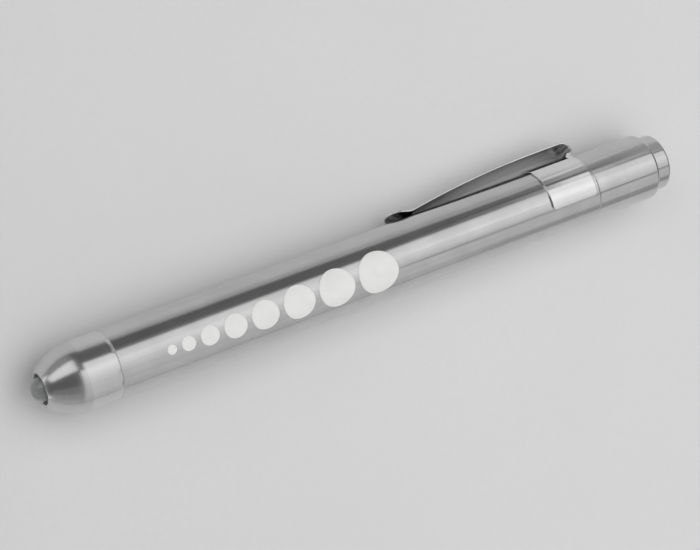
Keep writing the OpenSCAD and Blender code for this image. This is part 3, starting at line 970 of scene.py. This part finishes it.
@dataclass
class Barrel(Dressed):
    """The long tube with its printed pupil gauge and the cells inside."""

    pen: Pen
    body: ClassVar[str] = "barrel"
    # How deep the nose's and the tail cap's sockets are
    head_socket: float = 6.56
    cap_socket: float = 7.56
    # The slight fall of the tube towards the rear seam, and the bend where it starts
    rear_slope: float = 0.12
    rear_slope_drop: float = 0.03
    rear_bend: float = 0.2
    # The dots: the first one's diameter, how much each one grows, the bare length between two, their
    # number, and the angle around the barrel at which they lie
    dot_first: float = 2.0
    dot_grow: float = 1.0
    dot_space: float = 1.13
    dot_count: int = 8
    dot_turn: float = 122.5
    # A dot's grid: the share of its radius that the even rings of its top take up, the share over which
    # its edge falls, and how deep its underside lies, as a share of the ink's thickness
    dot_flat_share: float = 0.9
    dot_edge_share: float = 0.03
    dot_sink_share: float = 0.5
    dot_rings: int = 10
    dot_edge_rings: int = 6
    dot_sides: int = 96

    def build(self, clip_roll: float) -> None:
        """Builds the tube, its inner threads and the gauge, and dresses the cells.

        Args:
            clip_roll: Angle in degrees that the clip is rolled under the pen.
        """
        self.tube()
        self.gauge(clip_roll)
        self.dress(CAN, "cell_front", "cell_front_nub", "cell_rear", "cell_rear_nub")
        self.dress(WRAP, "cell_front_wrap", "cell_rear_wrap")

    def tube(self) -> None:
        """Turns the tube: a bevel in front, a slight fall behind, threaded sockets and the bore between."""
        pen = self.pen
        start, end = pen.seam_gap, pen.length - pen.seam_gap
        socket_r = pen.crest_r + pen.thread_clear
        deep_r = socket_r + pen.thread.depth
        head_land, head_end = pen.land_len, self.head_socket
        cap_end, cap_land = pen.length - self.cap_socket, pen.length - pen.land_len
        shape = outline(
            (start, pen.radius - pen.head_bevel_drop),
            (start + pen.head_bevel, pen.radius, pen.bevel_round),
            (end - self.rear_slope, pen.radius, self.rear_bend), (end, pen.radius - self.rear_slope_drop),
            (end, socket_r), (cap_land, socket_r), (cap_land, deep_r), (cap_end, deep_r),
            (cap_end, pen.bore_r), (head_end, pen.bore_r),
            (head_end, deep_r), (head_land, deep_r), (head_land, socket_r), (start, socket_r))
        self.turn("barrel_tube", shape, BARREL, "barrel", sides=192)
        ridges = []
        for x0, x1 in ((head_land, head_end), (cap_end, cap_land)):
            ridges += pen.thread.wind(x0, x1, deep_r, inward=True)
        self.keep("barrel_threads", ridges, BARREL)

    def gauge(self, clip_roll: float) -> None:
        """Prints the dots: circles drawn on the unrolled barrel and wrapped around it.

        A dot's point lies at x = centre + r cos a and at the angle turn + r sin a / R. Its height is
        the ink's thickness, falls as a quarter circle at the edge and is below the barrel underneath.

        Args:
            clip_roll: Angle in degrees that the clip is rolled under the pen.
        """
        r0, ink = self.pen.radius, radius("gauge_dots") - self.pen.radius
        number = np.arange(self.dot_count)
        size = self.dot_first + self.dot_grow * number
        middle = span("gauge_dots")[0] + np.cumsum(size) - size / 2 + self.dot_space * number
        edge = np.linspace(0, np.pi / 2, self.dot_edge_rings)
        share = np.concatenate([np.linspace(0, self.dot_flat_share, self.dot_rings),
                                1 - self.dot_edge_share * np.cos(edge), [self.dot_flat_share, 0]])
        height = ink * np.concatenate([np.ones(self.dot_rings), np.sin(edge[::-1]),
                                       np.full(2, -self.dot_sink_share)])
        angle = np.linspace(0, 2 * np.pi, self.dot_sides + 1)
        out = size[:, None, None] / 2 * share[None, :, None]
        along = middle[:, None, None] + out * np.cos(angle)
        around = np.radians(self.dot_turn - clip_roll) + out * np.sin(angle) / r0
        r = r0 + np.broadcast_to(height[None, :, None], along.shape)
        grids = np.stack([along, r * np.cos(around), r * np.sin(around)], -1)
        self.keep("pupil_gauge", [smooth_block(grid) for grid in grids], INK, "gauge_dots")


@dataclass
class Clip(Dressed):
    """The spring clip: a band around the barrel, a fold and a bowed arm with a flared tongue."""

    pen: Pen
    body: ClassVar[str] = "clip"
    sheet: float = 0.4
    width: float = 6.4
    gap: float = 2.36
    # The band: half of the angle that it wraps, the rounding of its free corners and of its edges, and
    # how far its rear edge stands in front of the seam
    half_wrap: float = 128.5
    corner_r: float = 1.1
    band_edge: float = 0.08
    band_inset: float = 0.9
    # The band's flat tab: its fillets, where it starts to rise and over what length, in x and around
    root_fillet: float = 0.45
    tab_rise: float = 1.5
    tab_rise_len: float = 1.6
    tab_side: float = 2.0
    tab_side_len: float = 1.9
    # The band's rear edge keeps this share of its rounding beside the tab and regains it over a length
    tab_edge_share: float = 0.02
    tab_edge_len: float = 0.15
    # The band's grid: arc lengths from the tab's side at which the spacing of the columns changes, how
    # many lie in each stretch, and the same along x as shares
    column_places: tuple[float, ...] = (-0.3, -0.2, 2.2, 2.5)
    column_counts: tuple[int, ...] = (10, 22, 24, 14)
    row_shares: tuple[float, float] = (0.8, 0.82)
    row_counts: tuple[int, int] = (5, 18)
    edge_points: int = 5
    # The fold: the radius of its wide quarter, how far it is pulled in towards the lamp, and the flat
    # that follows it, measured from its root
    fold_wide_r: float = 1.9
    fold_pull: float = 0.22
    fold_tail: float = 2.0
    fold_points: int = 41
    root_points: int = 3
    tail_points: int = 6
    # The arm: its length from the fold to the heel, the flat part of that, and the rounding of its sides
    arm_len: float = 38.8
    arm_flat_len: float = 4.4
    arm_edge: float = 0.2
    arm_edge_steps: int = 8
    bow_points: int = 40
    # The heel over the barrel, and the tongue's angle in degrees and length behind it
    heel_clear: float = 0.08
    heel_r: float = 3.2
    heel_points: int = 22
    flare: float = 17.0
    flare_len: float = 4.9
    tongue_points: int = 40
    tongue_spacing: float = 0.8

    def __post_init__(self) -> None:
        """Works out the places that the sheet runs through, in the clip's own upright frame.

        The radii are those of the middle of the sheet. The roll is the one at which the band and the
        arm's edge lie on one flat floor: asin(r / d) - atan(w / h), with r the band's outer radius
        and d, w and h the edge's distance from the axis, its half width and its height.
        """
        self.half: float = self.width / 2
        self.band_mid: float = self.pen.radius + self.pen.fit + self.sheet / 2
        self.band_end: float = self.half_wrap * np.pi / 180 * self.band_mid
        self.band_x0: float = span("clip_band")[0]
        self.band_x1: float = self.pen.length - self.band_inset
        self.fold_x: float = self.band_x1 + self.band_inset / 2
        self.fold_r: float = (self.gap + self.sheet) / 2
        self.arm_mid: float = self.band_mid + 2 * self.fold_r
        self.heel_mid: float = self.pen.radius + self.heel_clear + self.sheet / 2
        top = self.arm_mid + self.sheet / 2
        outer = self.band_mid + self.sheet / 2
        self.roll: float = np.arcsin(outer / np.hypot(top, self.half)) - np.arctan(self.half / top)

    def placed(self, grid: np.ndarray) -> np.ndarray:
        """Rolls a grid about X from the clip's upright frame to its place on the lying pen."""
        c, s = np.cos(-self.roll), np.sin(-self.roll)
        return grid @ np.array([[1, 0, 0], [0, c, s], [0, -s, c]])

    def build(self) -> None:
        """Builds the band, the fold and the arm."""
        self.band()
        self.fold()
        self.arm()

    def band(self) -> None:
        """Bends the band: a section along X, carried around the barrel.

        The column at arc length s runs from the front edge to the rear edge, which both pull in along
        a quarter circle at the free ends. Behind the middle the sheet rises from the barrel's curve to
        a flat tab as wide as the arm: the height is a smooth step in x times one in s.
        """
        s = self.band_columns()
        # How far a column lies beside the tab, and how far past the free end, which is never above 0
        beside, beyond = np.abs(s) - self.half, np.abs(s) - self.band_end
        pull = self.corner_r * (1 - quarter_round(beyond / self.corner_r + 1))
        fillet = 1 - quarter_round(1 - beside / self.root_fillet)
        rear = self.band_x1 - pull + (self.fold_x - self.band_x1) * fillet
        rear = np.where(beside <= 0, self.fold_x, rear)
        depth = self.sheet / 2 * quarter_round(beyond / self.band_edge + 1)
        bend = np.minimum(self.band_edge, depth)
        rear_bend = bend * np.clip(beside / self.tab_edge_len, self.tab_edge_share, 1)
        turn = np.linspace(0, np.pi / 2, self.edge_points)[:, None]
        rows = np.concatenate([np.linspace(0, self.row_shares[0], self.row_counts[0]),
                               np.linspace(self.row_shares[1], 1, self.row_counts[1])])[:, None]
        front, rear = self.band_x0 + pull + bend, rear - rear_bend
        top = front + (rear - front) * rows
        x = np.concatenate([top, rear + rear_bend * np.sin(turn), rear + rear_bend * np.cos(turn),
                            top[::-1], front - bend * np.sin(turn), front - bend * np.cos(turn)])
        t = np.concatenate([np.broadcast_to(depth, top.shape), depth - rear_bend * (1 - np.cos(turn)),
                            -depth + rear_bend * (1 - np.sin(turn)), np.broadcast_to(-depth, top.shape),
                            -depth + bend * (1 - np.cos(turn)), depth - bend * (1 - np.sin(turn))])
        lift = smooth_step((x - self.band_x1 + self.tab_rise) / self.tab_rise_len) \
            * smooth_step((self.tab_side - beside) / self.tab_side_len)
        r, angle = self.band_mid + t, s / self.band_mid
        y = r * np.cos(angle) * (1 - lift) + r * lift
        z = r * np.sin(angle) * (1 - lift) + s * lift
        grid = np.stack([x, y, z], -1)
        sheet = self.placed(np.concatenate([grid, grid[:1]]))
        self.keep("clip_band_sheet", [smooth_block(sheet)], CLIP, "clip_band", body="barrel")

    def band_columns(self) -> np.ndarray:
        """Spaces the band's columns around the barrel, closer together beside the tab and at the ends.

        Returns:
            Arc lengths from one free end to the other.
        """
        straight = self.band_end - self.corner_r
        middle, shoulder, shoulder_end, free = (self.half + place for place in self.column_places)
        counts = self.column_counts
        corner = straight + self.corner_r * np.sin(np.linspace(0, np.pi / 2, counts[3]))
        side = np.concatenate([
            np.linspace(0, middle, counts[0]), np.linspace(shoulder, shoulder_end, counts[1]),
            np.linspace(free, straight, counts[2])[:-1], corner])
        return np.concatenate([-side[:0:-1], side])

    def fold(self) -> None:
        """Bends the fold: a tight quarter from the band's tab, a wider one up to the arm, and a flat."""
        tight = 2 * self.fold_r - self.fold_wide_r
        far = self.fold_x + self.fold_r - self.fold_pull
        angle = np.linspace(-np.pi / 2, np.pi / 2, self.fold_points)
        r = np.where(angle < 0, tight, self.fold_wide_r)
        bend = np.stack([far + r * (np.cos(angle) - 1), self.band_mid + tight + r * np.sin(angle)], -1)
        root = level(np.linspace(self.fold_x, bend[0][0], self.root_points)[:-1], self.band_mid)
        tail_x = np.linspace(bend[-1][0], self.fold_x - self.fold_tail, self.tail_points)[1:]
        tail = level(tail_x, self.arm_mid)
        heading = np.concatenate([np.zeros(len(root)), angle + np.pi / 2, np.full(len(tail), np.pi)])
        path = np.concatenate([root, bend, tail])
        grid = self.strip(path, heading, np.full(len(path), self.half), np.full(len(path), self.sheet / 2))
        piece = self.keep("clip_fold", capped(grid), CLIP, ride=False)
        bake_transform(piece)

    def strip(self, path: np.ndarray, heading: np.ndarray, half: np.ndarray,
              depth: np.ndarray) -> np.ndarray:
        """Carries the sheet's rounded section along a path in the clip's plane and rolls it into place.

        Args:
            path: Stations of [x, y].
            heading: The path's angle at each station.
            half: Half of the width at each station.
            depth: Half of the thickness at each station.

        Returns:
            The grid, loop points by stations by three.
        """
        zero = np.zeros_like(heading)
        middle = np.stack([path[:, 0], path[:, 1], zero], -1)
        normal = np.stack([-np.sin(heading), np.cos(heading), zero], -1)
        section = rounded_section(half, depth, self.arm_edge, self.arm_edge_steps)
        return self.placed(sweep(middle, normal, np.array([[0, 0, 1.0]]), section))

    def arm(self) -> None:
        """Bends the arm: a flat, a long bow down to the barrel, a heel and a flared half-round tongue.

        The bow and the heel are arcs that meet at one slope, and the tangent of half of its angle is
        the fall over the run. The tongue's half width follows a quarter circle to its tip.
        """
        run, fall = self.arm_len - self.arm_flat_len, self.arm_mid - self.heel_mid
        bow = 2 * np.arctan(fall / run)
        bow_r = run / np.sin(bow) - self.heel_r
        flare = np.radians(self.flare)
        flat_end, heel = self.fold_x - self.arm_flat_len, self.fold_x - self.arm_len
        flat = np.linspace(self.fold_x - self.fold_tail, flat_end, self.tail_points)[:-1]
        a = np.linspace(0, bow, self.bow_points)
        b = np.linspace(bow, -flare, self.heel_points)[1:]
        share = np.sin(np.linspace(0, 1, self.tongue_points)[1:] ** self.tongue_spacing * np.pi / 2)
        turned = self.heel_r * np.sin(flare)
        tongue = heel - turned - (self.flare_len - turned) * share
        x = np.concatenate([flat, flat_end - bow_r * np.sin(a), heel + self.heel_r * np.sin(b), tongue])
        y = np.concatenate([
            np.full(len(flat), self.arm_mid), self.arm_mid - bow_r * (1 - np.cos(a)),
            self.heel_mid + self.heel_r * (1 - np.cos(b)),
            self.heel_mid + self.heel_r * (1 - np.cos(flare)) + (heel - turned - tongue) * np.tan(flare)])
        heading = np.pi + np.concatenate([np.zeros(len(flat)), a, b, np.full(len(tongue), -flare)])
        beyond = heel - self.flare_len - x
        half = self.half * quarter_round(beyond / self.half + 1)
        depth = self.sheet / 2 * quarter_round(beyond / self.arm_edge + 1)
        grid = self.strip(np.stack([x, y], -1), heading, half, depth)
        self.keep("clip_arm_sheet", capped(grid), CLIP, "clip_arm")


@dataclass
class Tail(Dressed):
    """The cap that screws on behind, with its switch and push button."""

    pen: Pen
    body: ClassVar[str] = "cap"
    # The cap: the rounding of its rear edge, and the rim around the button with the step inside
    cap_edge_r: float = 0.8
    cap_rim: float = 1.05
    rim_t: float = 1.4
    rim_round: float = 0.12
    flange_step: float = 0.35
    # The button: its crown, its wall, and the flange that keeps it in the cap
    button_edge_r: float = 0.65
    button_crown_t: float = 1.2
    button_crown_round: float = 0.2
    button_wall: float = 0.9
    button_skirt_round: float = 0.08
    button_flange_t: float = 1.0
    # The switch: the housing's boss, the plunger in it, the contact's rivet, and the button's travel
    boss_wall: float = 1.5
    boss_len: float = 2.8
    boss_round: float = 0.25
    plunger_collar_t: float = 1.2
    collar_round: float = 0.2
    tip_round: float = 0.7
    rivet_r: float = 0.6
    rivet_head_t: float = 0.7
    travel: float = 1.6
    # Rounding of the other edges
    edge: float = 0.1
    # The springs: the wire, the curls, and the tail spring's radius as a share of the spigot's
    wire: float = 0.5
    wire_sides: int = 12
    curls: int = 5
    curl_steps: int = 48
    tail_spring_share: float = 0.7

    def build(self) -> None:
        """Builds the cap, its sleeve, thread and seal, the button, the switch and both springs."""
        self.cap()
        self.sleeve()
        self.button()
        self.housing()
        self.plunger()
        self.springs()

    def cap(self) -> None:
        """Turns the cap: a bevel at the seam, a rounded rear edge and a rim around the button."""
        pen = self.pen
        x0, x1 = pen.length + pen.seam_gap, span("tail_cap")[1]
        hole, rim = pen.radius - self.cap_rim, x1 - self.rim_t
        pocket = hole + self.flange_step
        shape = outline((x0, pocket), (x0, pen.radius - pen.cap_bevel_drop),
                        (x0 + pen.cap_bevel, pen.radius, pen.bevel_round),
                        (x1, pen.radius, self.cap_edge_r), (x1, hole, self.rim_round), (rim, hole),
                        (rim, pocket))
        self.turn("cap_shell", shape, CAP, "tail_cap")

    def sleeve(self) -> None:
        """Turns the threaded sleeve, winds its thread and lays its seal."""
        pen = self.pen
        (x0, x1), wide = span("thread_sleeve"), radius("thread_sleeve")
        shoulder = pen.length + pen.seam_half
        shape = outline((x0, pen.spigot_r, self.edge), *pen.spigot(shoulder, x0)[::-1], (shoulder, wide),
                        (x1, wide), (x1, pen.spigot_r))
        finish = replace(CAP, slot="sleeve_aluminium")
        self.turn("cap_spigot", shape, finish, "thread_sleeve")
        self.keep("cap_thread", pen.thread.wind(x0, shoulder - pen.land_len, pen.root_r), finish)
        self.turn("cap_seal", pen.seal(shoulder, -1), RUBBER, "cap_oring")

    def button(self) -> None:
        """Turns the hollow button with the flange that keeps it in the cap."""
        (x0, x1), flange_r = span("push_button"), radius("push_button")
        r = self.pen.radius - self.cap_rim - self.pen.thread_clear
        crown, skirt, step = x1 - self.button_crown_t, r - self.button_wall, x0 + self.button_flange_t
        shape = outline((crown, 0.0), (crown, skirt, self.button_crown_round),
                        (x0, skirt, self.button_skirt_round), (x0, flange_r, self.edge),
                        (step, flange_r, self.edge), (step, r), (x1, r, self.button_edge_r), (x1, 0.0),
                        closed=False)
        finish = replace(CAP, slot="button_aluminium")
        self.turn("button_shell", shape, finish, "push_button", body="button")

    def housing(self) -> None:
        """Turns the housing: a floor with the rivet's hole, a flange against the sleeve, and a boss."""
        pen = self.pen
        (x0, x1), wide = span("switch_housing"), radius("switch_housing")
        hole, narrow, step = self.rivet_r + pen.fit, pen.spigot_r - pen.fit, span("thread_sleeve")[1]
        bore = radius("switch_plunger") - self.boss_wall + pen.thread_clear
        boss, flange = bore + self.boss_wall, x1 - self.boss_len
        floor = span("switch_contact")[1] - self.rivet_head_t
        shape = outline((x0, hole), (x0, narrow, self.edge), (step, narrow), (step, wide, self.edge),
                        (flange, wide, self.edge), (flange, boss), (x1, boss, self.boss_round),
                        (x1, bore, self.edge), (floor, bore), (floor, hole))
        self.turn("switch_body", shape, BLACK_NYLON, "switch_housing", sides=96)

    def plunger(self) -> None:
        """Turns the plunger and its brass tip, and dresses the brass contact."""
        (x0, x1), collar_r = span("switch_plunger"), radius("switch_plunger")
        rod = collar_r - self.boss_wall
        collar = span("switch_housing")[1] + self.travel + self.pen.fit
        back = collar + self.plunger_collar_t
        shape = outline((x0, 0.0), (x0, rod, self.edge), (collar, rod),
                        (collar, collar_r, self.collar_round), (back, collar_r, self.collar_round),
                        (back, rod), (x1, rod), (x1, 0.0), closed=False)
        self.turn("switch_rod", shape, NYLON, "switch_plunger", sides=96, body="button")
        (x0, x1), r = span("plunger_tip"), radius("plunger_tip")
        shape = outline((x0, 0.0), (x0, r, self.tip_round), (x1, r), (x1, 0.0), closed=False)
        self.turn("switch_tip", shape, BRASS, "plunger_tip", sides=64, body="button")
        self.dress(BRASS, "switch_contact")

    def coil(self, x0: float, x1: float, r: float) -> list[Block]:
        """Winds a round wire of n curls: its middle runs at (x, r cos a, r sin a), with a = 2 pi n t.

        Its middle starts half a wire behind the coil's front end and stops half a wire before its
        rear end, and x grows evenly with t.

        Args:
            x0: Place of the coil's front end.
            x1: Place of its rear end.
            r: Radius of the wire's middle.

        Returns:
            The closed wire as grids.
        """
        half = self.wire / 2
        t = np.linspace(0, 1, self.curls * self.curl_steps + 1)
        a = 2 * np.pi * self.curls * t
        out = np.stack([np.zeros_like(a), np.cos(a), np.sin(a)], -1)
        path = out * r + np.stack([x0 + half + (x1 - x0 - self.wire) * t, 0 * t, 0 * t], -1)
        ring = np.linspace(0, 2 * np.pi, self.wire_sides + 1)
        section = half * np.stack([np.cos(ring), np.sin(ring)], -1)[:, None]
        return capped(sweep(path, out, np.array([[1.0, 0, 0]]), np.repeat(section, len(t), axis=1)))

    def springs(self) -> None:
        """Winds the spring behind the cells and the one that returns the button."""
        x0, x1 = span("tail_spring")
        blocks = self.coil(x0, x1, self.pen.spigot_r * self.tail_spring_share)
        self.keep("cell_spring", blocks, SPRING, "tail_spring")
        x0, x1 = span("return_spring")
        blocks = self.coil(x0, x1, radius("return_spring") - self.wire / 2)
        piece = self.keep("button_spring", blocks, SPRING, "return_spring", ride=False)
        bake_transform(piece)


@dataclass
class Panel:
    """A flat lamp.

    Attributes:
        name: Its name.
        place: Where its middle stands.
        aim: The point that it faces.
        size: Its length along X, or along Y where it faces along X, and its width.
        radiance: Its brightness, where 1 shows as white in a perfect mirror.
        slant: Its turn in its own plane, in degrees.
        shine: True shows it in mirrors.
        glow: True lets it light matt surfaces.
    """

    name: str
    place: tuple[float, float, float]
    aim: tuple[float, float, float]
    size: tuple[float, float]
    radiance: float
    slant: float = 0.0
    shine: bool = True
    glow: bool = True

    @classmethod
    def around(cls, name: str, angles: tuple[float, float], reach_x: tuple[float, float], radiance: float,
               distance: float = 480.0, **options: float | bool) -> "Panel":
        """Places a panel along the pen by the directions that it fills around the axis.

        Args:
            name: Name of the lamp.
            angles: Its two long edges, in degrees from +Y towards +Z.
            reach_x: Its two ends along X.
            radiance: Its brightness.
            distance: Distance of its middle from the axis.
            options: The fields that differ from what they are by default.

        Returns:
            The panel.
        """
        low, high = np.radians(angles)
        turn, x = (low + high) / 2, sum(reach_x) / 2
        size = (reach_x[1] - reach_x[0], 2 * distance * np.tan((high - low) / 2))
        place = (x, distance * np.cos(turn), distance * np.sin(turn))
        return cls(name, place, (x, 0.0, 0.0), size, radiance, **options)

    def build(self) -> None:
        """Hangs the lamp. Its power is pi times its area times its radiance."""
        lamp = bpy.data.lights.new(self.name, "AREA")
        lamp.shape = "RECTANGLE"
        lamp.size, lamp.size_y = (side * MM for side in self.size)
        lamp.energy = self.radiance * np.pi * lamp.size * lamp.size_y
        away = (Vector(self.place) - Vector(self.aim)).normalized()
        guide = Vector((1, 0, 0)) if abs(away.x) < max(abs(away.y), abs(away.z)) else Vector((0, 1, 0))
        along = (guide - away * guide.dot(away)).normalized()
        along = Matrix.Rotation(np.radians(self.slant), 3, away) @ along
        placed = bpy.data.objects.new(self.name, lamp)
        placed.matrix_world = Matrix((along, away.cross(along), away)).transposed().to_4x4()
        placed.location = Vector(self.place) * MM
        placed.visible_camera = False
        placed.visible_glossy = self.shine
        placed.visible_diffuse = self.glow
        bpy.context.scene.collection.objects.link(placed)


@dataclass
class Studio:
    """The floor, the lamps and the camera."""

    floor_size: float = 12000.0
    floor_cells: int = 2
    camera_place: tuple[float, float, float] = (-144.27, 57.95, 431.43)
    camera_aim: tuple[float, float, float] = (54.22, -0.09, 0.0)
    camera_roll: float = 87.564
    lens: float = 122.8
    near_limit: float = 10.0
    world_grey: float = 0.13

    def build(self) -> None:
        """Lays the floor, hangs the lamps and sets up the camera."""
        self.floor()
        self.lamps()
        self.camera()

    def floor(self) -> None:
        """Lays a pale sheet under the pen's lowest point."""
        line = np.linspace(-self.floor_size / 2, self.floor_size / 2, self.floor_cells + 1)
        x, y = np.meshgrid(line, line)
        points = np.stack([x, y, np.full_like(x, CAD_BOX[0][2] / MM)], -1).reshape(-1, 3)
        index = np.arange(x.size).reshape(x.shape)
        mesh = bpy.data.meshes.new("floor")
        mesh.from_pydata((points * MM).tolist(), [], cell_corners(index, index).reshape(-1, 4).tolist())
        sheet = bpy.data.objects.new("floor", mesh)
        bpy.context.scene.collection.objects.link(sheet)
        mesh.materials.append(PAPER.material())

    def lamps(self) -> None:
        """Hangs soft panels around the pen, and a fill that no mirror shows."""
        nose, barrel, whole = (-700, -38), (75, 720), (-20, 720)
        front, rear, before_clip, past_clip = (-20, 290), (290, 720), (-20, 330), (330, 720)
        clip, cap, fill = (372, 397), (410, 720), (-300, 500)
        for lamp in (
            Panel.around("key_low", (52, 72), barrel, 0.80),
            Panel.around("key_high", (72, 88), whole, 0.92),
            Panel.around("slope_a", (88, 97), whole, 0.82),
            Panel.around("slope_b", (97, 107), whole, 0.72),
            Panel.around("slope_c", (107, 118), whole, 0.64),
            Panel.around("slope_d", (118, 135), front, 0.55),
            Panel.around("slope_d_rear", (122, 135), rear, 0.55),
            Panel.around("slope_e", (135, 160), whole, 0.51),
            Panel.around("slope_f", (160, 179), before_clip, 0.44),
            Panel.around("slope_f_rear", (160, 179), past_clip, 0.25),
            Panel.around("key_clip", (38, 52), clip, 0.85),
            Panel.around("wall_clip", (6, 30), clip, 0.3),
            Panel.around("wall_cap", (-2, 47), cap, 0.33, glow=False),
            Panel.around("nose_strip", (28, 67), nose, 0.87),
            Panel.around("nose_low_a", (115, 142), nose, 0.1),
            Panel.around("nose_low_b", (142, 165), nose, 0.22),
            Panel.around("nose_low_c", (165, 179), nose, 0.36),
            Panel.around("nose_wall", (1, 24), nose, 0.18, glow=False),
            Panel("wall", (134, 470, -84), (134, 0, -84), (600, 300), 0.36, slant=-20, glow=False),
            Panel("front", (-800, 0, 135), (0, 0, 0), (1300, 165), 0.9, glow=False),
            Panel.around("fill", (50, 130), fill, 0.78, distance=520.0, shine=False),
        ):
            lamp.build()
        world = bpy.data.worlds.new("studio")
        world.use_nodes = True
        grey = world.node_tree.nodes["Background"]
        grey.inputs["Color"].default_value = (self.world_grey,) * 3 + (1.0,)
        bpy.context.scene.world = world

    def camera(self) -> None:
        """Stands the camera at the photograph's place and rolls it to the pen's slant in the frame."""
        place, aim = Vector(self.camera_place) * MM, Vector(self.camera_aim) * MM
        ahead = (aim - place).normalized()
        level_right = ahead.cross(Vector((0, 0, 1))).normalized()
        upright = level_right.cross(ahead)
        roll = np.radians(self.camera_roll)
        right = level_right * np.cos(roll) + upright * np.sin(roll)
        up = upright * np.cos(roll) - level_right * np.sin(roll)
        lens = bpy.data.cameras.new("camera")
        lens.lens = self.lens
        lens.clip_start = self.near_limit * MM
        eye = bpy.data.objects.new("camera", lens)
        eye.matrix_world = Matrix((right, up, -ahead)).transposed().to_4x4()
        eye.location = place
        bpy.context.scene.collection.objects.link(eye)
        bpy.context.scene.camera = eye
        bpy.context.scene.view_settings.view_transform = "Standard"


def corners(box: tuple) -> list[list[float]]:
    """Turns a box's two corners into plain lists of numbers."""
    return [[float(value) for value in corner] for corner in box]


def main() -> None:
    """Builds the sub-assemblies from the nose to the button, then the studio."""
    logging.basicConfig(level=logging.INFO, format="%(name)s: %(message)s")
    pen = Pen()
    clip = Clip(pen)
    Head(pen).build()
    Lamp(pen).build()
    Barrel(pen).build(float(np.degrees(clip.roll)))
    clip.build()
    Tail(pen).build()
    Studio().build()


if __name__ == "__main__":
    main()
